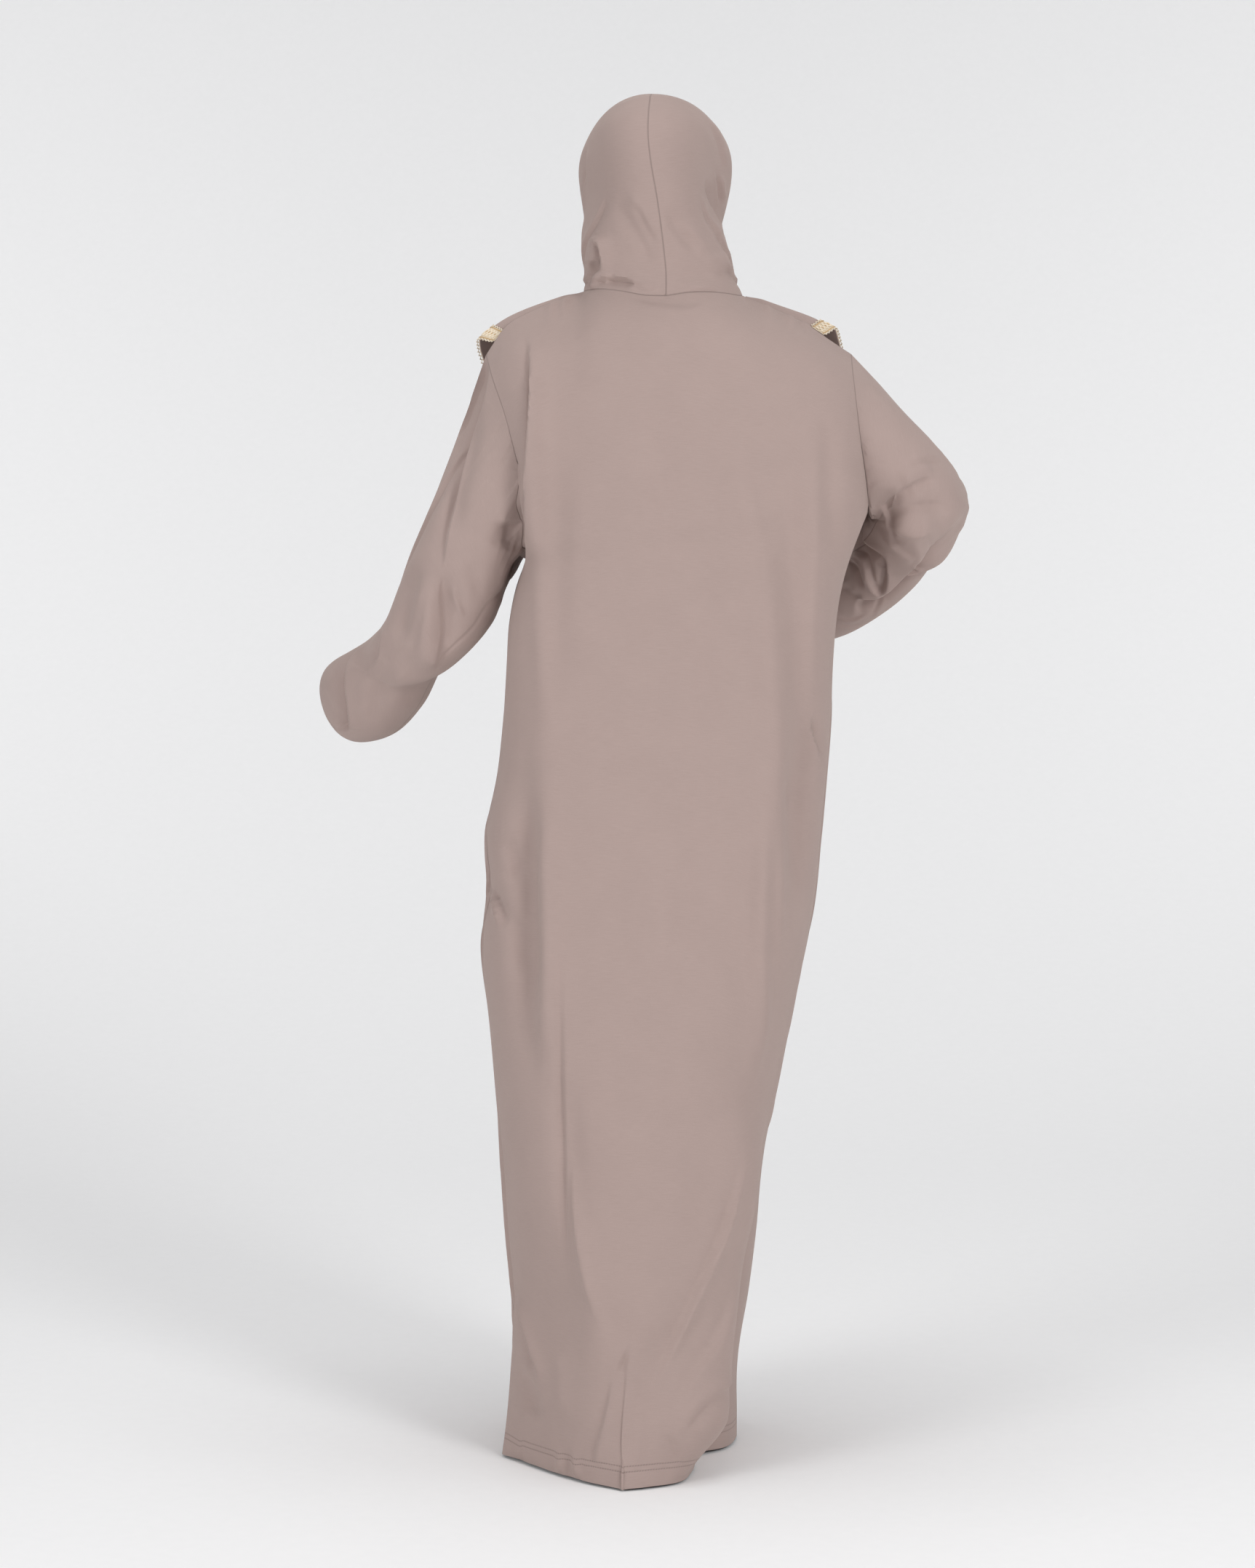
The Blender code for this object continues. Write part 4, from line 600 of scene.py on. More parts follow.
HOOD_HIDDEN = [
    ("left", [(0.060, 0.12), (0.030, 0.08), (-0.010, 0.03)], (0.002, 0.008), (-0.003, 0.008), 0.003, EASY),
    ("left", [(0.020, 0.16), (-0.010, 0.13), (-0.030, 0.09)], (-0.002, 0.007), (0.002, 0.007), 0.003, EASY),
    ("left", [(0.040, 0.04), (0.010, 0.02), (-0.030, 0.01)], (0.002, 0.006), (-0.002, 0.006), 0.003, EASY),
    ("right", [(0.060, 0.12), (0.030, 0.07), (-0.010, 0.02)], (-0.003, 0.008), (0.002, 0.008), 0.003, EASY),
    ("right", [(0.020, 0.15), (-0.010, 0.12), (-0.030, 0.08)],
     (0.002, 0.007), (-0.002, 0.007), 0.003, EASY),
    ("right", [(0.040, 0.04), (0.010, 0.02), (-0.030, 0.01)], (-0.002, 0.006), (0.002, 0.006), 0.003, EASY),
]


def smoothstep(value):
    t = np.clip(value, 0.0, 1.0)
    return t * t * (3.0 - 2.0 * t)


def through(stations, rows, places):
    """Smooth curve through a table's rows, read at the places asked for."""
    stations = np.asarray(stations, float)
    rows = np.asarray(rows, float)
    places = np.asarray(places, float)
    slopes = np.gradient(rows, stations, axis=0)
    first = np.clip(np.searchsorted(stations, places, side="right") - 1, 0, len(stations) - 2)
    step = (stations[first + 1] - stations[first])[:, None]
    t = (places - stations[first])[:, None] / step
    return (
        (2 * t**3 - 3 * t**2 + 1) * rows[first]
        + (t**3 - 2 * t**2 + t) * step * slopes[first]
        + (3 * t**2 - 2 * t**3) * rows[first + 1]
        + (t**3 - t**2) * step * slopes[first + 1]
    )


def lengths(points):
    """Distance along a line at each of its points."""
    steps = np.linalg.norm(np.diff(np.asarray(points, float), axis=0), axis=1)
    return np.concatenate([[0.0], np.cumsum(steps)])


def seam_curve(points, count):
    """Points spaced evenly along the smooth curve of a seam."""
    stations = lengths(points)
    fine = through(stations, points, np.linspace(0.0, stations[-1], 40 * count + 1))
    run = lengths(fine)
    even = np.linspace(0.0, run[-1], count + 1)
    return np.stack([np.interp(even, run, fine[:, axis]) for axis in range(3)], axis=1)


def power(value, square):
    """Superellipse term: a cosine or sine drawn out towards a square corner."""
    return np.sign(value) * np.abs(value) ** (2.0 / square)


def body_ring(level):
    """One level of the skirt: the back's points from left to right, then the front's back again."""
    row = dict(zip(BODY_COLUMNS, level))
    centre = 0.5 * (row["left_x"] + row["right_x"])
    parts = (
        (BACK_COLUMNS, "left", "right", row["back_y"], row["back_left"], row["back_right"]),
        (FRONT_COLUMNS, "right", "left", row["front_y"], row["front"], row["front"]),
    )
    ring = []
    for columns, start, end, depth, square_start, square_end in parts:
        for angle in np.linspace(0.0, math.pi, columns + 1)[:-1]:
            side, square = (start, square_start) if angle <= math.pi / 2 else (end, square_end)
            across = abs(power(math.cos(angle), square))
            deep = power(math.sin(angle), square)
            side_x, side_y = row[side + "_x"], row[side + "_y"]
            ring.append((centre + (side_x - centre) * across, side_y + (depth - side_y) * deep))
    ring = np.array(ring)
    share = (row["left_x"] - ring[:, 0]) / (row["left_x"] - row["right_x"])
    height = row["left_z"] + (row["right_z"] - row["left_z"]) * share
    return np.column_stack([ring, height])


def skirt():
    """Rings from the underarm down to the hem, as rows by columns by xyz."""
    table = np.array(BODY)
    stations = -(table[:, 0] + table[:, 3]) / 2
    levels = through(stations, table, np.linspace(stations[0], stations[-1], SKIRT_ROWS + 1))
    return np.array([body_ring(level) for level in levels])


def upper_half(bottom, top, start, end, depth_column):
    """Back or chest from the underarm row up to the shoulder seams and the neck.

    Its sides are the armholes. Between them each row bulges to the depth table's value, and
    takes on the shape of the neck and shoulder seams only near the top.
    """
    rows, columns = len(start), len(bottom)
    across = np.linspace(0.0, 1.0, columns)[None, :]
    height = np.linspace(0.0, 1.0, rows)[:, None]
    table = np.array(DEPTH)
    middle = through(table[:, 0], table[:, [depth_column]], height[:, 0])
    grid = np.zeros((rows, columns, 3))
    for axis in (0, 2):
        plain = (1 - height) * bottom[None, :, axis] + height * top[None, :, axis]
        ends = [side[:, axis][:, None] for side in (start, end)]
        flat = [(1 - height) * side[0] + height * side[-1] for side in ends]
        grid[:, :, axis] = plain + (1 - across) * (ends[0] - flat[0]) + across * (ends[1] - flat[1])
    edge = (1 - across) * start[:, 1][:, None] + across * end[:, 1][:, None]
    low = bottom[None, :, 1] / middle[0]
    high = [top[:, 1] / middle[-1]]
    for _ in range(rows - 1):
        softer = high[-1].copy()
        for _ in range(DENSITY):
            softer[1:-1] = 0.25 * softer[:-2] + 0.5 * softer[1:-1] + 0.25 * softer[2:]
        high.append(softer)
    swell = low + (np.array(high[::-1]) - low) * height**NECK_REACH
    grid[:, :, 1] = edge + (middle - edge) * swell
    return grid


def sleeve(loop, table, flip_depth):
    """Tube of sections from the armhole to the open wrist."""
    table = np.array(table)
    centres = 0.5 * (table[:, 0:3] + table[:, 3:6])
    outer_run = lengths(table[:, 0:3])
    stations = 0.5 * (lengths(centres) + outer_run)
    places = np.linspace(0.0, stations[-1], SLEEVE_ROWS + 1)
    sections = through(stations, table, places)
    paths = np.gradient(0.5 * (sections[:, 0:3] + sections[:, 3:6]), places, axis=0)
    angles = np.linspace(0.0, 2 * math.pi, len(loop), endpoint=False)
    rows = []
    for section, path in zip(sections, paths):
        row = dict(zip(SLEEVE_COLUMNS, section))
        outer, inner = section[0:3], section[3:6]
        half = 0.5 * (outer - inner)
        depth = np.cross(path, half) * flip_depth
        depth /= np.linalg.norm(depth)
        along = power(np.cos(angles), row["square"])[:, None]
        aside = power(np.sin(angles), row["square"])[:, None]
        reach = np.where(aside > 0, row["behind"], row["before"])
        rows.append(0.5 * (outer + inner) - half * along + depth * reach * aside)
    rows = np.array(rows)
    fade = 1.0 - smoothstep(np.arange(SLEEVE_ROWS + 1) / (SLEEVE_SEAM_ROWS * DENSITY))
    return rows + (loop - rows[0])[None] * fade[:, None, None]


def bend(start, middle, end, start_way, counts):
    """Rounded curve through three points, leaving the first in a given direction."""
    chord_one, chord_two = middle - start, end - middle
    size_one, size_two = np.linalg.norm(chord_one), np.linalg.norm(chord_two)
    pass_way = (end - start) / np.linalg.norm(end - start)
    turn = chord_two / size_two
    end_way = 2 * np.dot(turn, pass_way) * turn - pass_way
    reach_one, reach_two = size_one * HOOD_ROUNDNESS[0], size_two * HOOD_ROUNDNESS[1]
    legs = (
        (start, middle, start_way * reach_one, pass_way * reach_one, counts[0]),
        (middle, end, pass_way * reach_two, end_way * reach_two, counts[1]),
    )
    points = []
    for a, b, leave, arrive, count in legs:
        for t in np.linspace(0.0, 1.0, count + 1)[:-1]:
            points.append(
                (2 * t**3 - 3 * t**2 + 1) * a
                + (t**3 - 2 * t**2 + t) * leave
                + (3 * t**2 - 2 * t**3) * b
                + (t**3 - t**2) * arrive
            )
    return np.array(points + [end])


def hood_half(neck, side):
    """Half of the hood, from the neck seam up and over the head. Side is +1 left, -1 right."""
    table = np.array(HOOD)
    stations = lengths(table[:, 0:3])
    levels = through(stations, table, np.linspace(0.0, stations[-1], HOOD_ROWS + 1))
    rows = []
    for level in levels:
        row = dict(zip(HOOD_COLUMNS, level))
        side_x = row["left_x"] if side > 0 else row["right_x"]
        start = level[0:3]
        middle = np.array([side_x, row["side_y"], row["side_z"]])
        end = np.array([max(row["edge_x"], 0.0) * side, row["edge_y"], row["edge_z"]])
        counts = (NECK_BACK_HALF, NECK_FRONT_HALF)
        rows.append(bend(start, middle, end, np.array([side, 0.0, 0.0]), counts))
    rows = np.array(rows)
    under_chin = stations_below_chin(levels)
    rows[:under_chin, -1, 0] = 0.0
    fade = 1.0 - smoothstep(np.arange(HOOD_ROWS + 1) / (HOOD_SEAM_ROWS * DENSITY))
    return rows + (neck - rows[0])[None] * fade[:, None, None]


def stations_below_chin(levels):
    """How many rows of the hood meet at the seam under the chin."""
    edge = HOOD_COLUMNS.index("edge_x")
    return int(np.sum(levels[:, edge] < CHIN_HALF_WIDTH))


REGIONS = {
    "back_panel": "body", "front_panel": "body", "sleeve_left": "sleeve",
    "sleeve_right": "sleeve", "hood_left": "hood", "hood_right": "hood",
}
SIDES = {
    "back": (0, (0.0, 1.0, 0.0)),
    "front": (0, (0.0, -1.0, 0.0)),
    "left": (1, (1.0, 0.0, 0.0)),
    "right": (1, (-1.0, 0.0, 0.0)),
}


def beside_line(flat, line):
    """How far each point is from a line, below zero on its left hand, and the share of the line
    that lies before the spot nearest to the point."""
    run = lengths(line)
    nearest = np.full(flat.shape[:-1], FAR_AWAY)
    place = np.zeros(flat.shape[:-1])
    for k in range(len(line) - 1):
        step = line[k + 1] - line[k]
        t = np.clip(((flat - line[k]) @ step) / (step @ step), 0.0, 1.0)
        away = flat - (line[k] + t[..., None] * step)
        hand = np.where(away[..., 0] * step[1] > away[..., 1] * step[0], 1.0, -1.0)
        distance = np.linalg.norm(away, axis=-1)
        closer = distance < np.abs(nearest)
        nearest = np.where(closer, distance * hand, nearest)
        place = np.where(closer, (run[k] + t * (run[k + 1] - run[k])) / run[-1], place)
    return nearest, place


def fold_shift(points, normals, folds):
    """How far the folds move each point: out or in along the cloth's normal, and sideways."""
    shift = np.zeros_like(points)
    for side, corners, half_width, height, lean in folds:
        axis, facing = SIDES[side]
        nearest, place = beside_line(points[..., [axis, 2]], np.array(corners))
        ends = smoothstep(place / FOLD_ENDS) * np.maximum(
            smoothstep((1.0 - place) / FOLD_ENDS), float(corners[-1][1] < HEM_Z)
        )
        turned = smoothstep((normals @ np.array(facing)) / FOLD_TURN)
        amount = np.exp(-((nearest / half_width) ** 2)) * ends * turned
        shift += (height * amount)[..., None] * normals
        shift[..., axis] += lean * amount
    return shift


TUBES = ("sleeve_left", "sleeve_right")
TURNED = ("sleeve_right", "hood_left")


def finer(values):
    """The same line of values, with steps between them that are DENSITY times smaller."""
    places = np.arange((len(values) - 1) * DENSITY + 1) / DENSITY
    return np.interp(places, np.arange(len(values)), values)


def garment_grids():
    """Outer surface of every cut piece but the cape, meeting exactly along the seams."""
    rings = skirt()
    top = rings[0]
    back_bottom = top[: BACK_COLUMNS + 1]
    front_bottom = np.concatenate([top[BACK_COLUMNS:], top[:1]])
    left_seam = seam_curve(SHOULDER_SEAM_LEFT, SHOULDER_LEFT)
    right_seam = seam_curve(SHOULDER_SEAM_RIGHT, SHOULDER_RIGHT)
    neck_back = [
        seam_curve(NECK_BACK_LEFT, NECK_BACK_HALF), seam_curve(NECK_BACK_RIGHT, NECK_BACK_HALF)
    ]
    neck_front = [
        seam_curve(NECK_FRONT_LEFT, NECK_FRONT_HALF), seam_curve(NECK_FRONT_RIGHT, NECK_FRONT_HALF)
    ]
    back_top = np.concatenate([left_seam, neck_back[0][1:], neck_back[1][1:], right_seam[1:]])
    front_top = np.concatenate([left_seam, neck_front[0][1:], neck_front[1][1:], right_seam[1:]])[::-1]
    arm = {
        "back_left": seam_curve(ARMHOLE_BACK_LEFT, UPPER_ROWS),
        "front_left": seam_curve(ARMHOLE_FRONT_LEFT, UPPER_ROWS),
        "back_right": seam_curve(ARMHOLE_BACK_RIGHT, UPPER_ROWS),
        "front_right": seam_curve(ARMHOLE_FRONT_RIGHT, UPPER_ROWS),
    }
    upper_back = upper_half(back_bottom, back_top, arm["back_left"], arm["back_right"], 1)
    upper_front = upper_half(front_bottom, front_top, arm["front_right"], arm["front_left"], 2)
    low_back = rings[::-1][:-1, : BACK_COLUMNS + 1]
    low_front = np.concatenate([rings[::-1][:-1, BACK_COLUMNS:], rings[::-1][:-1, :1]], axis=1)
    loops = {
        side: np.concatenate([arm["back_" + side], arm["front_" + side][::-1][1:-1]])
        for side in ("left", "right")
    }
    return {
        "back_panel": np.concatenate([low_back, upper_back]),
        "front_panel": np.concatenate([low_front, upper_front]),
        "sleeve_left": sleeve(loops["left"], SLEEVE_LEFT, -1.0),
        "sleeve_right": sleeve(loops["right"], SLEEVE_RIGHT, 1.0),
        "hood_left": hood_half(np.concatenate([neck_back[0][::-1], neck_front[0][1:]]), 1.0),
        "hood_right": hood_half(np.concatenate([neck_back[1], neck_front[1][::-1][1:]]), -1.0),
    }


def surface_tree(grids, names):
    """Search tree of some pieces' surfaces."""
    points, faces = [], []
    for name in names:
        grid = grids[name]
        rows, columns = grid.shape[:2]
        base = len(points)
        points += [Vector(point) for point in grid.reshape(-1, 3)]
        wide = columns if name in TUBES else columns - 1
        for i in range(rows - 1):
            for j in range(wide):
                a, b = base + i * columns + j, base + i * columns + (j + 1) % columns
                faces += [(a, b, b + columns), (a, b + columns, a + columns)]
    return BVHTree.FromPolygons(points, faces)


def cape_grid(grids):
    """Cape over the chest, made from the points of the panels under it, moved out.

    Rows run from the neck to the hem, columns from the left shoulder seam round to the right.
    """
    tree = surface_tree(grids, ("front_panel", "sleeve_left", "sleeve_right"))
    ends = np.array(CAPE_END_STEPS)
    middle = np.linspace(
        CAPE_MIDDLE_START, 1.0 - CAPE_MIDDLE_START, CAPE_COLUMNS + 1 - 2 * len(ends)
    )
    share = finer(np.concatenate([ends, middle, 1.0 - ends[::-1]]))
    hem_run = lengths(CAPE_HEM)
    hem = through(hem_run, CAPE_HEM, share * hem_run[-1])
    neck_line = np.array(NECK_FRONT_LEFT + NECK_FRONT_RIGHT[1:])
    neck_line = neck_line + BELOW_NECK_SEAM
    neck_line[:, 0] *= CAPE_NECK_SPREAD
    neck_run = lengths(neck_line)
    neck = through(neck_run, neck_line, share * neck_run[-1])
    braid_share = BRAID_WIDTH / np.linalg.norm(hem - neck, axis=1)
    rows = np.linspace(0.0, 1.0, CAPE_ROWS) ** CAPE_ROW_CROWDING
    down = np.array([
        finer(np.append((1.0 - part) * rows, 1.0)) for part in braid_share
    ]).T
    grid = np.zeros((*down.shape, 3))
    outward = np.zeros_like(grid)
    for i in range(len(down)):
        for j, u in enumerate(share):
            v = down[i, j]
            guess = (1 - v) * neck[j] + v * hem[j]
            swell = 4 * v * (1 - v) * 4 * u * (1 - u)
            guess = guess + CHEST_SWELL * swell
            spot, normal, _, _ = tree.find_nearest(Vector(guess))
            grid[i, j] = spot
            facing = normal.dot(Vector(guess + OUTSIDE_THE_CHEST) - spot)
            outward[i, j] = normal if facing > 0 else -normal
    for _ in range(2 * DENSITY**2):
        beside = outward[1:-1, 2:] + outward[1:-1, :-2]
        outward[1:-1, 1:-1] += outward[2:, 1:-1] + outward[:-2, 1:-1] + beside
        outward /= np.linalg.norm(outward, axis=-1, keepdims=True)
    return grid, outward, share, down


def cape_lift(share, down):
    """Clearance of the cape's inner face from the panels under it."""
    u, v = share[None, :], down
    ends = np.minimum(u, 1 - u)
    off_seam = smoothstep(ends / CAPE_SEAM_SHARE)
    waves = 0.5 + 0.5 * np.sin(2 * math.pi * CAPE_WAVES * u + CAPE_WAVE_START)
    puffs = np.where(u < 0.5, CAPE_END_PUFFS[0], CAPE_END_PUFFS[1])
    puff = puffs * np.exp(-((ends - CAPE_PUFF_PLACE) / CAPE_END_SPAN) ** 2) * smoothstep(v / 0.9)
    shoulder = np.exp(-(ends / CAPE_SHOULDER_SPAN) ** 2) * smoothstep(0.2 + 4 * v)
    puff = puff + CAPE_SHOULDER_PUFF * shoulder
    free = CAPE_CLEARANCE + CAPE_FLARE * v**2 + CAPE_WAVE_HEIGHT * waves * v + puff
    return CAPE_SEWN_GAP + free * off_seam


def unit(vectors):
    size = np.linalg.norm(vectors, axis=-1, keepdims=True)
    return vectors / np.maximum(size, 1e-12)


def grid_normals(name, grid):
    """Outward normals of one grid, each the mean of the quads round it."""
    closed = name in TUBES
    wide = np.concatenate([grid, grid[:, :1]], axis=1) if closed else grid
    a, b, c, d = wide[:-1, :-1], wide[:-1, 1:], wide[1:, 1:], wide[1:, :-1]
    face = np.cross(c - a, d - b) * (-1.0 if name in TURNED else 1.0)
    total = np.zeros_like(wide)
    for rows in (slice(0, -1), slice(1, None)):
        for columns in (slice(0, -1), slice(1, None)):
            total[rows, columns] += face
    if closed:
        total[:, 0] += total[:, -1]
        total = total[:, :-1]
    return unit(total)


def border_corners(name, grid):
    """Rows and columns of the points on a grid's borders."""
    rows, columns = grid.shape[:2]
    corners = [(i, j) for i in (0, rows - 1) for j in range(columns)]
    if name not in TUBES:
        corners += [(i, j) for j in (0, columns - 1) for i in range(rows)]
    return corners


def place_key(point):
    return tuple(np.round(point * 1e5).astype(int))


def is_finer(name, grid):
    """True of a sleeve or hood half with more columns than the seam at its start has points."""
    seam_points = 2 * UPPER_ROWS if name in TUBES else NECK_BACK_HALF + NECK_FRONT_HALF + 1
    return REGIONS[name] != "body" and grid.shape[1] > seam_points


def between(line):
    """The line with each odd value the mean of its two neighbours."""
    line = line.copy()
    even = line[0::2]
    line[1::2] = 0.5 * (even + np.roll(even, -1, axis=0))[:len(line) // 2]
    return line


def vertex_normals(grids):
    """Outward normals, shared along the seams. Body, sleeves and hood count alike there."""
    normals = {name: grid_normals(name, grid) for name, grid in grids.items()}
    shared = {}
    for name, grid in grids.items():
        for corner in border_corners(name, grid):
            regions = shared.setdefault(place_key(grid[corner]), {})
            regions.setdefault(REGIONS[name], []).append(normals[name][corner].copy())
    for name, grid in grids.items():
        for corner in border_corners(name, grid):
            regions = shared[place_key(grid[corner])].values()
            normals[name][corner] = unit(sum(unit(sum(region)) for region in regions))
        if is_finer(name, grid):
            normals[name][0] = unit(between(normals[name][0]))
    return normals


def seen_at(tree, pixel):
    """Where the camera sees the cloth at a pixel of the photograph, as the distance across and
    the height, to a millimetre. Past the cloth's outline it is the nearest spot on the cloth."""
    eye = Vector(CAMERA_PLACE)
    ahead = (Vector(CAMERA_AIM) - eye).normalized()
    right = ahead.cross(Vector((0.0, 0.0, 1.0))).normalized()
    pixels_ahead = CAMERA_LENS / CAMERA_SENSOR * PHOTO_HEIGHT
    way = ahead + right * ((pixel[0] - PHOTO_WIDTH / 2) / pixels_ahead)
    way -= right.cross(ahead) * ((pixel[1] - PHOTO_HEIGHT / 2) / pixels_ahead)
    spot = tree.ray_cast(eye, way.normalized())[0]
    if spot is None:
        spot = tree.find_nearest(eye - way * (eye.y / way.y))[0]
    return round(spot.x, 3), round(spot.z, 3)


def placed(creases, region, grids):
    """The creases that the photograph shows on one region's cloth, in the form and units of the
    others."""
    tree = surface_tree(grids, [name for name in grids if REGIONS[name] == region])
    result = []
    for pixels, right, left, edge, ends in creases:
        soft = max(abs(right[0]), abs(left[0])) < SOFT_CREASE
        gain = CREASE_GAINS[region][0 if soft else 1]
        hands = [
            (round(height * gain / MILLIMETRES_PER_METRE, 4), width / MILLIMETRES_PER_METRE)
            for height, width in (right, left)
        ]
        edge = max(edge, LEAST_EDGES[region]) / MILLIMETRES_PER_METRE
        result.append(("back", [seen_at(tree, pixel) for pixel in pixels], *hands, edge, ends))
    return result


def crease_shift(points, normals, creases):
    """How far the creases move each point along the cloth's normal. A crease has its own height
    on each hand of its line, and turns from one to the other over its edge."""
    height = np.zeros(points.shape[:-1])
    for side, corners, right, left, edge, (start, end) in creases:
        axis, facing = SIDES[side]
        picture_right = np.cross((0, 0, 1), facing)[axis]
        corners = np.array(corners) * (picture_right, 1.0)
        stations = lengths(corners)
        line = through(stations, corners, np.linspace(0.0, stations[-1], CREASE_STEPS * len(corners)))
        flat = points[..., [axis, 2]] * (picture_right, 1.0)
        turned = smoothstep((normals @ np.array(facing)) / CREASE_TURN)
        reach = 3.0 * max(right[1], left[1])
        near = np.all((flat > line.min(axis=0) - reach) & (flat < line.max(axis=0) + reach), axis=-1)
        near &= turned > 0.0
        nearest, place = beside_line(flat[near], line)
        ends = smoothstep(place / max(start, 1e-6)) * smoothstep((1.0 - place) / max(end, 1e-6))
        share = smoothstep(0.5 + 0.5 * nearest / edge)
        swell = [size * np.exp(-((nearest / width) ** 2)) for size, width in (right, left)]
        height[near] += (share * swell[0] + (1.0 - share) * swell[1]) * ends * turned[near]
    return height[..., None] * normals


def more_rows(grid, count):
    """The same surface with this many steps down it, on smooth lines."""
    rows = np.arange(len(grid), dtype=float)
    places = np.linspace(0.0, rows[-1], count + 1)
    return through(rows, grid.reshape(len(grid), -1), places).reshape(-1, *grid.shape[1:])


def more_columns(name, grid):
    """The same sleeve or hood half with twice the columns, on smooth lines. Its first row stays
    on the straight steps of its seam."""
    if name in TUBES:
        wide = np.concatenate([grid[:, -1:], grid, grid[:, :2]], axis=1)
    else:
        start = 2.0 * grid[:, :1] - grid[:, 1:2]
        end = 2.0 * grid[:, -1:] - grid[:, -2:-1]
        wide = np.concatenate([start, grid, end], axis=1)
    middle = (9.0 * (wide[:, 1:-2] + wide[:, 2:-1]) - wide[:, :-3] - wide[:, 3:]) / 16.0
    fine = np.empty((len(grid), grid.shape[1] + middle.shape[1], 3))
    fine[:, 0::2] = grid
    fine[:, 1::2] = middle
    fine[0] = between(fine[0])
    return fine


def eased(grid):
    """The panel with the kinks gone that its seams' corners send into it. Its seams stay."""
    grid = grid.copy()
    for axis, width in ((1, EASE_COLUMNS), (0, EASE_ROWS)):
        lines = np.swapaxes(grid, 0, axis)
        for _ in range(int(width * DENSITY**2)):
            inner = 0.25 * lines[:-2] + 0.5 * lines[1:-1] + 0.25 * lines[2:]
            start = 0 if axis == 1 else 1
            lines[1:-1, start:-1] = inner[:, start:-1]
    return grid


def folded(grids, tables, mover):
    """The surfaces with their folds. Seams keep one shape on both of their sides."""
    normals = vertex_normals(grids)
    settled = {}
    result = {}
    for name, grid in grids.items():
        moved = grid + mover(grid, normals[name], tables[REGIONS[name]])
        own = moved[0].copy()
        for corner in border_corners(name, grid):
            moved[corner] = settled.setdefault(place_key(grid[corner]), moved[corner].copy())
        if is_finer(name, grid):
            moved[0] = between(moved[0])
        if name in TUBES:
            rows_apart = (len(grid) - 1) / SLEEVE_STEPS
            fade = 1.0 - smoothstep(np.arange(1, len(grid)) / (SEAM_FOLLOW_ROWS * rows_apart))
            moved[1:] += (moved[0] - own)[None] * fade[:, None, None]
        result[name] = moved
    return result


@functools.cache
def surfaces():
    """Outer surface and outward normals of each panel, sleeve and half of the hood."""
    large = {"body": BODY_FOLDS, "sleeve": SLEEVE_FOLDS, "hood": HOOD_FOLDS}
    seen = {"body": BODY_SEEN, "sleeve": SLEEVE_SEEN, "hood": HOOD_SEEN}
    hidden = {"body": BODY_HIDDEN, "sleeve": SLEEVE_HIDDEN, "hood": HOOD_HIDDEN}
    grids = garment_grids()
    coarse = {name: grid[::DENSITY, ::DENSITY] for name, grid in grids.items()}
    coarse = folded(coarse, large, fold_shift)
    fine = {region: placed(seen[region], region, coarse) + hidden[region] for region in seen}
    for name in ("back_panel", "front_panel"):
        grids[name] = eased(grids[name])
    grids = folded(grids, large, fold_shift)
    for name in FINER_PIECES:
        steps = int(FINER_ROWS * (len(grids[name]) - 1))
        grids[name] = more_columns(name, more_rows(grids[name], steps))
    grids = folded(grids, fine, crease_shift)
    return grids, vertex_normals(grids)


def closed_round(name, grid):
    return np.concatenate([grid, grid[:, :1]], axis=1) if name in TUBES else grid


def run_along(grid, axis):
    """Distance of each point of a grid from the start of its row (axis 1) or column (axis 0)."""
    steps = np.linalg.norm(np.diff(grid, axis=axis), axis=-1)
    start = np.zeros_like(np.take(steps, [0], axis=axis))
    return np.concatenate([start, np.cumsum(steps, axis=axis)], axis=axis)


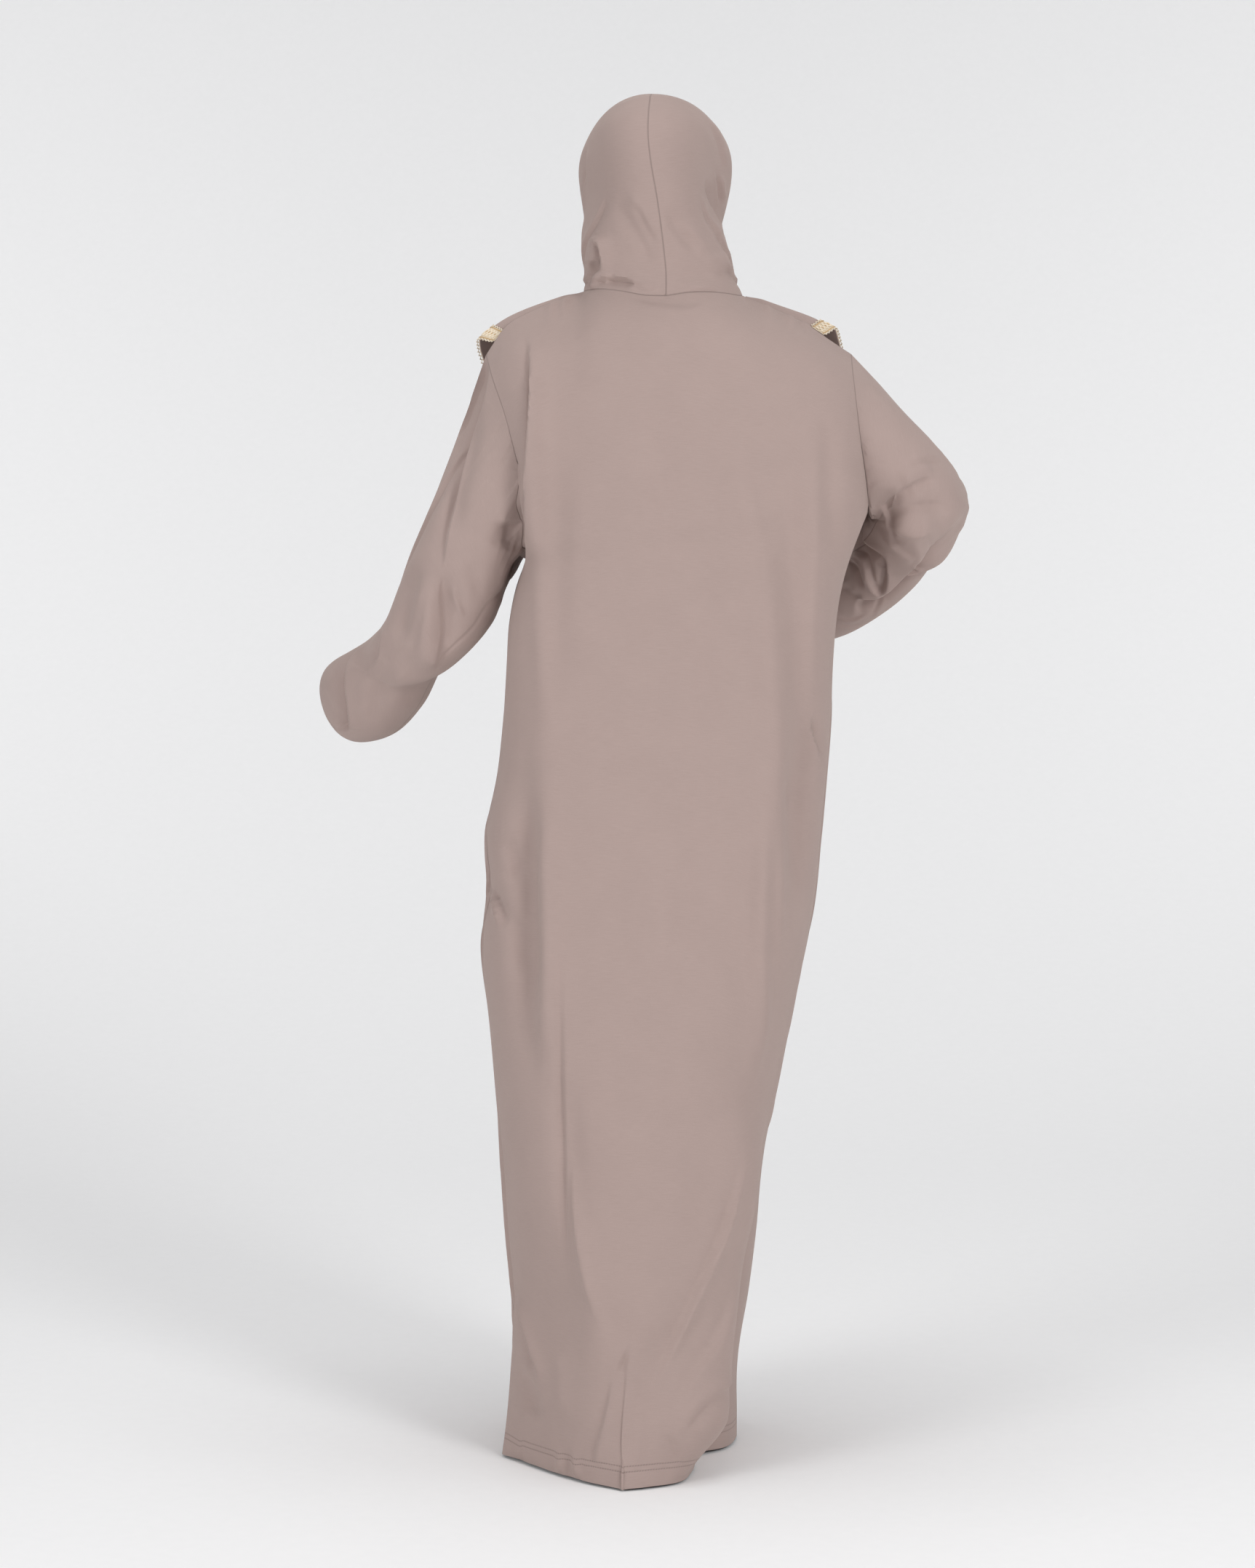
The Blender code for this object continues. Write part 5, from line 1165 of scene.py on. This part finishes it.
def cloth_shell(name, outer, normals, thickness, material, sewn, hemmed):
    """Thin closed shell of cloth. Its UV map is in metres of cloth. The point attributes seam
    and hem are the distances from the nearest seam and from the nearest hem."""
    rows, columns = outer.shape[:2]
    open_grid = closed_round(name, outer)
    across, down = run_along(open_grid, 1), run_along(open_grid, 0)
    wide = open_grid.shape[1] - 1
    i, j = np.divmod(np.arange((rows - 1) * wide), wide)
    groups = [
        [(i, j, 0), (i, j + 1, 0), (i + 1, j + 1, 0), (i + 1, j, 0)],
        [(i + 1, j, 1), (i + 1, j + 1, 1), (i, j + 1, 1), (i, j, 1)],
    ]
    along, up = np.arange(wide), np.arange(rows - 1)
    first, last = 0 * along, 0 * along + rows - 1
    rims = [(first, along, first, along + 1), (last, along + 1, last, along)]
    if name not in TUBES:
        first, last = 0 * up, 0 * up + columns - 1
        rims += [(up + 1, first, up, first), (up, last, up + 1, last)]
    for row_a, column_a, row_b, column_b in rims:
        groups.append([
            (row_b, column_b, 0), (row_a, column_a, 0), (row_a, column_a, 1), (row_b, column_b, 1)
        ])
    faces, places = [], []
    for group in groups:
        index = [layer * rows * columns + r * columns + c % columns for r, c, layer in group]
        place = [np.stack([across[r, c], down[r, c]], axis=1) for r, c, _ in group]
        if name in TURNED:
            index, place = index[::-1], place[::-1]
        faces.append(np.stack(index, axis=1))
        places.append(np.stack(place, axis=1))
    points = np.concatenate([outer, outer - normals * thickness]).reshape(-1, 3)
    mesh = bpy.data.meshes.new(name)
    mesh.from_pydata(points.tolist(), [], np.concatenate(faces).tolist())
    spread = mesh.uv_layers.new(name="cloth")
    spread.uv.foreach_set("vector", np.concatenate(places).astype(np.float32).ravel())
    far = {
        "start": across, "end": across[:, -1:] - across,
        "bottom": down, "top": down[-1:] - down,
    }
    for label, edges in (("seam", sewn), ("hem", hemmed)):
        value = np.min([far[edge] for edge in edges] + [np.full(across.shape, FAR_FROM_EDGES)], axis=0)
        value = value[:, :columns]
        attribute = mesh.attributes.new(label, "FLOAT", "POINT")
        attribute.data.foreach_set("value", np.tile(value.ravel(), 2).astype(np.float32))
    mesh.materials.append(material)
    piece = bpy.data.objects.new("cloth_" + name, mesh)
    bpy.context.scene.collection.objects.link(piece)
    mesh.shade_smooth()
    mesh.set_sharp_from_angle(angle=math.radians(SHARP_ANGLE))
    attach(piece, "root")
    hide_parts(name)
    return piece


def linear(hex_colour):
    """Linear colour of an sRGB hex code, with alpha."""
    parts = [int(hex_colour[k:k + 2], 16) / 255 for k in (0, 2, 4)]
    return [part / 12.92 if part <= 0.04045 else ((part + 0.055) / 1.055) ** 2.4 for part in parts] + [1.0]


def new_material(name):
    material = bpy.data.materials.new(name)
    material.use_nodes = True
    return material, material.node_tree, material.node_tree.nodes["Principled BSDF"]


def set_inputs(tree, node, inputs):
    """Gives a node its inputs: values, or sockets to link from, by name or place."""
    for key, value in inputs.items():
        if isinstance(value, bpy.types.NodeSocket):
            tree.links.new(value, node.inputs[key])
        else:
            node.inputs[key].default_value = value


def add_node(tree, kind, inputs={}, **settings):
    """New node with its settings and inputs."""
    node = tree.nodes.new(kind)
    for key, value in settings.items():
        setattr(node, key, value)
    set_inputs(tree, node, inputs)
    return node


def maths(tree, operation, first, second=0.0, third=0.0, clamp=False):
    node = add_node(
        tree, "ShaderNodeMath", {0: first, 1: second, 2: third},
        operation=operation, use_clamp=clamp,
    )
    return node.outputs[0]


def band(tree, distance, centre, half_width):
    """1 on a line at a distance from an edge, falling to 0 at its half width."""
    away = maths(tree, "ABSOLUTE", maths(tree, "SUBTRACT", distance, centre))
    return maths(tree, "SUBTRACT", 1.0, maths(tree, "DIVIDE", away, half_width), clamp=True)


def ripple(tree, distance, length):
    """Sine wave over a distance, one for each length."""
    return maths(tree, "SINE", maths(tree, "MULTIPLY", distance, 2 * math.pi / length))


def noise(tree, place, scale, detail, roughness=0.5):
    """Soft random pattern between 0 and 1."""
    inputs = {"Vector": place, "Scale": scale, "Detail": detail, "Roughness": roughness}
    return add_node(tree, "ShaderNodeTexNoise", inputs).outputs["Fac"]


def mixed(tree, share, first, second, **settings):
    """Mix of two colours."""
    inputs = {0: share, 6: first, 7: second}
    return add_node(tree, "ShaderNodeMix", inputs, data_type="RGBA", **settings).outputs[2]


def bump(tree, height, strength, distance, **inputs):
    """Normal that a relief of this height gives."""
    inputs = {"Strength": strength, "Distance": distance, "Height": height, **inputs}
    return add_node(tree, "ShaderNodeBump", inputs).outputs[0]


def cloth_axes(tree):
    """The cloth's UV map, in metres, and its distances across and down."""
    cloth = add_node(tree, "ShaderNodeUVMap", uv_map="cloth").outputs[0]
    parts = add_node(tree, "ShaderNodeSeparateXYZ", {0: cloth})
    return cloth, parts.outputs[0], parts.outputs[1]


def jersey_material(settings):
    """Cotton jersey, knitted fine and dyed: soft and matt, with wales under a millimetre wide,
    seams pressed flat, and a cover-stitched hem that draws the cloth in along its two rows.
    Painted shade darkens the lines of the seams and stitches, as if shaded in their grooves."""
    material, tree, shader = new_material("cotton_jersey_knit")
    cloth, across, down = cloth_axes(tree)
    seam, hem = [
        add_node(tree, "ShaderNodeAttribute", attribute_name=edge).outputs["Fac"] for edge in ("seam", "hem")
    ]
    place = add_node(tree, "ShaderNodeTexCoord").outputs["Object"]
    wales = ripple(tree, across, settings.wale)
    knit = maths(tree, "MULTIPLY_ADD", ripple(tree, down, settings.course), 0.35, wales)
    fuzz = noise(tree, place, 900.0, 3.0, 0.6)
    slub = noise(tree, place, 22.0, 2.0)
    stretch = {0: cloth, 1: (60.0, 1100.0, 1.0)}
    stretched = add_node(tree, "ShaderNodeVectorMath", stretch, operation="MULTIPLY").outputs[0]
    streak = noise(tree, stretched, 1.0, 3.0, 0.6)
    base = linear(settings.cloth_colour)
    dark = [part * 0.84 for part in base[:3]] + [1.0]
    light = [min(part * 1.16, 1.0) for part in base[:3]] + [1.0]
    share = maths(tree, "MULTIPLY_ADD", slub, 0.2, maths(tree, "MULTIPLY", streak, 0.5))
    tone = mixed(tree, maths(tree, "MULTIPLY_ADD", fuzz, 0.3, share), dark, light)
    rows = [
        band(tree, hem, row, STITCH_HALF_WIDTH)
        for row in (settings.hem_depth, settings.hem_depth + settings.stitch_gap)
    ]
    dash = maths(tree, "MULTIPLY_ADD", ripple(tree, across, settings.stitch), 0.45, 0.75, clamp=True)
    stitches = maths(tree, "MULTIPLY", maths(tree, "MAXIMUM", *rows), dash)
    groove = maths(tree, "MAXIMUM", band(tree, seam, 0.0, SEAM_HALF_WIDTH), stitches)
    # Seam and stitch lines darkened by a third: painted shade in their grooves
    painted_groove_shade = maths(tree, "MULTIPLY_ADD", groove, -0.34, 1.0)
    fine = bump(tree, maths(tree, "MULTIPLY_ADD", fuzz, 1.2, knit), 0.35, 0.00018)
    set_inputs(tree, shader, {
        "Base Color": mixed(tree, 1.0, tone, painted_groove_shade, blend_type="MULTIPLY"),
        "Normal": bump(tree, maths(tree, "SUBTRACT", 1.0, groove), 0.6, 0.0007, Normal=fine),
        "Roughness": 0.92,
        "Specular IOR Level": 0.18,
        "Sheen Weight": 0.30,
        "Sheen Roughness": 0.55,
        "Sheen Tint": linear("D8CCC4"),
    })
    return material


def cord_material(name, colour, deep):
    """Viscose gimp cord, wound tight: a soft gloss, with a fine twist round it."""
    material, tree, shader = new_material(name)
    place = add_node(tree, "ShaderNodeTexCoord").outputs["Object"]
    grain = noise(tree, place, 1500.0, 2.0)
    patch = noise(tree, place, 160.0, 1.0)
    share = maths(tree, "MULTIPLY_ADD", grain, 0.6, maths(tree, "MULTIPLY", patch, 0.5), clamp=True)
    set_inputs(tree, shader, {
        "Base Color": mixed(tree, share, deep, colour),
        "Normal": bump(tree, grain, 0.5, 0.0003),
        "Roughness": 0.5,
    })
    return material


def cream_cord_material(settings):
    return cord_material("gimp_cord_cream", linear(settings.braid_colour), linear("D9C7A8"))


def tan_cord_material(settings):
    return cord_material("gimp_cord_gold_tan", linear(settings.braid_tan), linear("B08A58"))


def ground_material(settings):
    """The braid's woven ground, seen between its cords: cream and tan threads, matt."""
    material, tree, shader = new_material("gimp_ground_woven")
    _, across, down = cloth_axes(tree)
    threads = maths(tree, "MULTIPLY", ripple(tree, across, GROUND_THREAD), ripple(tree, down, GROUND_THREAD))
    weave = maths(tree, "MULTIPLY_ADD", threads, 0.5, 0.5)
    set_inputs(tree, shader, {
        "Base Color": mixed(tree, weave, linear("D3B98F"), linear(settings.braid_colour)),
        "Normal": bump(tree, weave, 0.8, 0.0005),
        "Roughness": 0.75,
    })
    return material


def paper_material():
    """Seamless studio paper, matt."""
    material, tree, shader = new_material("studio_paper")
    place = add_node(tree, "ShaderNodeTexCoord").outputs["Object"]
    set_inputs(tree, shader, {
        "Base Color": mixed(tree, noise(tree, place, 60.0, 3.0), linear("F6F6F6"), linear("F9F9F9")),
        "Roughness": 0.9,
        "Specular IOR Level": 0.1,
    })
    return material


class DressSettings(bpy.types.PropertyGroup):
    """Sizes and colours of the dress."""

    thickness: bpy.props.FloatProperty(
        name="Cloth thickness", description="How thick the jersey is", default=0.0011,
        min=0.0006, max=0.002, subtype="DISTANCE", unit="LENGTH", precision=4,
    )
    wale: bpy.props.FloatProperty(
        name="Wale", description="Distance between two ribs of the knit", default=0.0009,
        min=0.0004, max=0.003, subtype="DISTANCE", unit="LENGTH", precision=4,
    )
    course: bpy.props.FloatProperty(
        name="Course", description="Distance between two rows of the knit", default=0.0007,
        min=0.0004, max=0.003, subtype="DISTANCE", unit="LENGTH", precision=4,
    )
    hem_depth: bpy.props.FloatProperty(
        name="Hem depth", description="Distance of the lower row of stitches from the hem",
        default=0.020, min=0.005, max=0.05, subtype="DISTANCE", unit="LENGTH", precision=3,
    )
    stitch_gap: bpy.props.FloatProperty(
        name="Stitch rows", description="Distance between the two rows of stitches at a hem",
        default=0.0065, min=0.003, max=0.012, subtype="DISTANCE", unit="LENGTH", precision=4,
    )
    stitch: bpy.props.FloatProperty(
        name="Stitch length", description="Length of one stitch of the hems' sewing",
        default=0.0034, min=0.002, max=0.006, subtype="DISTANCE", unit="LENGTH", precision=4,
    )
    cloth_colour: bpy.props.StringProperty(
        name="Cloth colour", description="The jersey's sRGB colour, as a hex code", default="A4918B",
    )
    braid_colour: bpy.props.StringProperty(
        name="Braid colour", description="The braid's cream, as a hex code", default="F6EDDD",
    )
    braid_tan: bpy.props.StringProperty(
        name="Braid edges", description="The braid's gold tan, as a hex code", default="D8B888",
    )


def settings_of(context):
    return context.scene.prayer_dress


def material_of(name, maker, settings):
    """The named material, made when a piece first asks for it."""
    return bpy.data.materials.get(name) or maker(settings)


def deselect_all():
    for thing in bpy.context.selected_objects:
        thing.select_set(False)


def add_cloth(name, settings, sewn, hemmed):
    """One cut piece of cloth."""
    grids, normals = surfaces()
    jersey = material_of("cotton_jersey_knit", jersey_material, settings)
    piece = cloth_shell(name, grids[name], normals[name], settings.thickness, jersey, sewn, hemmed)
    return piece


class DRESS_OT_body(bpy.types.Operator):
    """Back and front of the dress, from the neck and shoulders to the hem"""

    bl_idname = "dress.body"
    bl_label = "Body"

    def execute(self, context):
        deselect_all()
        settings = settings_of(context)
        sides = ("start", "end", "top")
        add_cloth("back_panel", settings, sides, ("bottom",))
        add_cloth("front_panel", settings, sides, ("bottom",))
        return {"FINISHED"}


class DRESS_OT_sleeves(bpy.types.Operator):
    """Long sleeves, each a tube with an open end"""

    bl_idname = "dress.sleeves"
    bl_label = "Sleeves"

    def execute(self, context):
        deselect_all()
        settings = settings_of(context)
        for name in TUBES:
            add_cloth(name, settings, ("bottom", "start", "end"), ("top",))
        return {"FINISHED"}


class DRESS_OT_hood(bpy.types.Operator):
    """Close head cover of two halves, with a seam over the crown"""

    bl_idname = "dress.hood"
    bl_label = "Hood"

    def execute(self, context):
        deselect_all()
        settings = settings_of(context)
        for name in ("hood_left", "hood_right"):
            add_cloth(name, settings, ("bottom", "start"), ())
        return {"FINISHED"}


class DRESS_OT_cape(bpy.types.Operator):
    """Short loose layer over the chest, with a braid along its edge"""

    bl_idname = "dress.cape"
    bl_label = "Cape and braid"

    def execute(self, context):
        deselect_all()
        settings = settings_of(context)
        base, outward, share, down = cape_grid(surfaces()[0])
        lift = cape_lift(share, down)[..., None]
        outer = base + outward * (lift + settings.thickness)
        jersey = material_of("cotton_jersey_knit", jersey_material, settings)
        cape = cloth_shell(
            "front_cape", outer, outward, settings.thickness, jersey, ("start", "end", "bottom"), ()
        )
        braid = add_braid(outer, outward, settings)
        return {"FINISHED"}


def tube_faces(count):
    """Quads of a tube of CORD_SIDES sides over a line of this many points, and its end caps."""
    i, j = np.divmod(np.arange((count - 1) * CORD_SIDES), CORD_SIDES)
    beside = (j + 1) % CORD_SIDES
    faces = np.stack([i, i, i + 1, i + 1], axis=1) * CORD_SIDES + np.stack([j, beside, beside, j], axis=1)
    start = list(range(CORD_SIDES))[::-1]
    end = [(count - 1) * CORD_SIDES + k for k in range(CORD_SIDES)]
    return faces.tolist() + [start, end]


def add_cords(name, paths, radius, material):
    """Cords sewn on the cloth: a tube along each path, which is a line of points on the cloth and
    the cloth's normals there."""
    points, faces = [], []
    turn = 2.0 * np.pi * np.arange(CORD_SIDES) / CORD_SIDES
    for line, outward in paths:
        along = unit(np.gradient(line, axis=0))
        beside = unit(np.cross(along, outward))
        over = np.cross(beside, along)
        ring = np.cos(turn)[:, None] * beside[:, None] + np.sin(turn)[:, None] * over[:, None]
        base = sum(len(part) for part in points)
        points.append((line[:, None] + radius * ring).reshape(-1, 3))
        faces += [[base + corner for corner in face] for face in tube_faces(len(line))]
    mesh = bpy.data.meshes.new(name)
    mesh.from_pydata(np.concatenate(points).tolist(), [], faces)
    mesh.materials.append(material)
    mesh.shade_smooth()
    piece = bpy.data.objects.new(name, mesh)
    bpy.context.scene.collection.objects.link(piece)
    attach(piece, "root")
    return piece


def read_along(places, run, line):
    """Points of a line at these distances along it."""
    return np.stack([np.interp(places, run, line[:, axis]) for axis in range(3)], axis=1)


def on_braid(outer, outward, along, across):
    """Points over the braid, and its normals there: along it from its start, and across it from
    its middle line towards the cape's edge, in metres."""
    upper, lower = outer[-(DENSITY + 1)], outer[-1]
    run = lengths(0.5 * (upper + lower))
    high, low = read_along(along, run, upper), read_along(along, run, lower)
    share = (across / BRAID_WIDTH)[:, None]
    return 0.5 * (high + low) + (low - high) * share, unit(read_along(along, run, outward[-1]))


def add_braid(outer, outward, settings):
    """Gimp braid along the cape's lower edge: a woven ground, two cords that cross in scrolls
    round small rings, a cord inside each edge, and picot loops outside."""
    rows = slice(-(DENSITY + 1), None)
    face = outer[rows] + outward[rows] * (BRAID_THICK + BRAID_GAP)
    ground_cloth = material_of("gimp_ground_woven", ground_material, settings)
    cream = material_of("gimp_cord_cream", cream_cord_material, settings)
    tan = material_of("gimp_cord_gold_tan", tan_cord_material, settings)
    braid = cloth_shell("cape_braid", face, outward[rows], BRAID_THICK, ground_cloth, (), ())
    length = lengths(0.5 * (outer[-(DENSITY + 1)] + outer[-1]))[-1]
    height = BRAID_THICK + BRAID_GAP + CORD_RADIUS
    steps = CORD_STEPS

    def laid(along, across, lift):
        along, across, lift = np.broadcast_arrays(along, across, lift)
        along = np.clip(along, BRAID_END, length - BRAID_END)
        spot, normal = on_braid(outer, outward, along, across)
        return spot + normal * lift[:, None], normal

    repeats = round(length / SCROLL_STEP)
    share = np.linspace(0.0, 1.0, repeats * steps + 1)
    phase = 2.0 * np.pi * repeats * share
    scrolls = [
        laid(
            share * length + SCROLL_SWAY * SCROLL_STEP * np.sin(2.0 * phase),
            side * SCROLL_REACH * np.sin(phase),
            height + SCROLL_LIFT * CORD_RADIUS * (1.0 + side * np.cos(phase)),
        )
        for side in (1, -1)
    ]
    turn = np.linspace(0.0, 2.0 * np.pi, RING_POINTS)
    centres = (np.arange(2 * repeats) + 0.5) * length / (2 * repeats)
    rings = [
        laid(centre + RING_RADIUS * np.cos(turn), RING_RADIUS * np.sin(turn), height) for centre in centres
    ]
    loops = round(length / PICOT_STEP)
    share = np.linspace(0.0, 1.0, loops * steps // 2 + 1)
    swing = 2.0 * np.pi * loops * share
    picots = [
        laid(
            share * length - PICOT_SWAY * PICOT_STEP * np.sin(2.0 * swing),
            side * (0.5 * BRAID_WIDTH + PICOT_REACH * (0.5 - 0.5 * np.cos(swing))),
            height,
        )
        for side in (1, -1)
    ]
    swell = height + EDGE_CORD_SWELL * CORD_RADIUS * np.cos(2.0 * swing)
    edges = [laid(share * length, side * EDGE_CORD_PLACE * BRAID_WIDTH, swell) for side in (1, -1)]
    return [
        braid,
        add_cords("braid_scrolls", scrolls, CORD_RADIUS, cream),
        add_cords("braid_rings", rings, RING_CORD * CORD_RADIUS, tan),
        add_cords("braid_picots", picots, PICOT_CORD * CORD_RADIUS, cream),
        add_cords("braid_edge_cords", edges, EDGE_CORD * CORD_RADIUS, tan),
    ]


class DRESS_OT_stage(bpy.types.Operator):
    """Camera, seamless paper and soft studio light"""

    bl_idname = "dress.stage"
    bl_label = "Stage"

    def execute(self, context):
        deselect_all()
        scene = context.scene
        paper = add_paper()
        camera = bpy.data.objects.new("camera", bpy.data.cameras.new("camera"))
        scene.collection.objects.link(camera)
        camera.location = CAMERA_PLACE
        way = Vector(CAMERA_AIM) - Vector(CAMERA_PLACE)
        camera.rotation_euler = way.to_track_quat("-Z", "Y").to_euler()
        camera.data.lens = CAMERA_LENS
        camera.data.sensor_fit = "VERTICAL"
        camera.data.sensor_height = CAMERA_SENSOR
        scene.camera = camera
        lights = [add_light(*row) for row in LIGHTS]
        world = bpy.data.worlds.new("studio")
        scene.world = world
        world.use_nodes = True
        background = world.node_tree.nodes["Background"]
        set_inputs(world.node_tree, background, {"Color": linear("F6F6F8"), "Strength": WORLD_LIGHT})
        scene.view_settings.view_transform = "Standard"
        return {"FINISHED"}


def add_paper():
    """Paper floor that sweeps up into a backdrop."""
    bpy.ops.mesh.primitive_plane_add(size=1.0, location=(0.0, 0.0, FLOOR_Z))
    paper = bpy.context.active_object
    paper.name = "paper_sweep"
    bpy.ops.object.mode_set(mode="EDIT")
    bpy.ops.mesh.select_all(action="SELECT")
    size = (PAPER_WIDTH, PAPER_DEPTH, 1.0)
    bpy.ops.transform.resize(value=size, center_override=(0.0, 0.0, FLOOR_Z))
    bpy.ops.mesh.select_all(action="DESELECT")
    bpy.ops.object.mode_set(mode="OBJECT")
    for vertex in paper.data.vertices:
        vertex.select = vertex.co.y < 0.0
    bpy.ops.object.mode_set(mode="EDIT")
    bpy.ops.mesh.select_mode(type="EDGE")
    bpy.ops.mesh.extrude_region_move(TRANSFORM_OT_translate={"value": (0.0, 0.0, PAPER_HEIGHT)})
    bpy.ops.object.mode_set(mode="OBJECT")
    corner = paper.modifiers.new("sweep", "BEVEL")
    corner.width = PAPER_BEND
    corner.segments = PAPER_BEND_STEPS
    corner.limit_method = "ANGLE"
    bpy.ops.object.modifier_apply(modifier="sweep")
    bpy.ops.object.shade_smooth()
    bpy.ops.object.transform_apply(location=True, rotation=True, scale=True)
    paper.data.materials.append(paper_material())
    return paper


def add_light(name, place, aim, size, power_watts):
    data = bpy.data.lights.new(name, "AREA")
    data.shape = "DISK"
    data.size = size
    data.energy = power_watts
    light = bpy.data.objects.new(name, data)
    light.location = place
    light.rotation_euler = (Vector(aim) - Vector(place)).to_track_quat("-Z", "Y").to_euler()
    bpy.context.scene.collection.objects.link(light)
    return light


class DRESS_PT_panel(bpy.types.Panel):
    """Sidebar panel with the dress's sizes, colours and pieces"""

    bl_idname = "DRESS_PT_panel"
    bl_label = "Prayer dress"
    bl_space_type = "VIEW_3D"
    bl_region_type = "UI"
    bl_category = "Prayer dress"

    def draw(self, context):
        settings = settings_of(context)
        for name in DressSettings.__annotations__:
            self.layout.prop(settings, name)
        for operator in OPERATORS:
            self.layout.operator(operator.bl_idname)


OPERATORS = (DRESS_OT_body, DRESS_OT_sleeves, DRESS_OT_hood, DRESS_OT_cape, DRESS_OT_stage)


def register():
    for kind in (DressSettings, *OPERATORS, DRESS_PT_panel):
        bpy.utils.register_class(kind)
    bpy.types.Scene.prayer_dress = bpy.props.PointerProperty(type=DressSettings)


def unregister():
    del bpy.types.Scene.prayer_dress
    for kind in (DRESS_PT_panel, *reversed(OPERATORS), DressSettings):
        bpy.utils.unregister_class(kind)


def main():
    register()
    bpy.ops.dress.body()
    bpy.ops.dress.sleeves()
    bpy.ops.dress.hood()
    bpy.ops.dress.cape()
    bpy.ops.dress.stage()


if __name__ == "__main__":
    main()
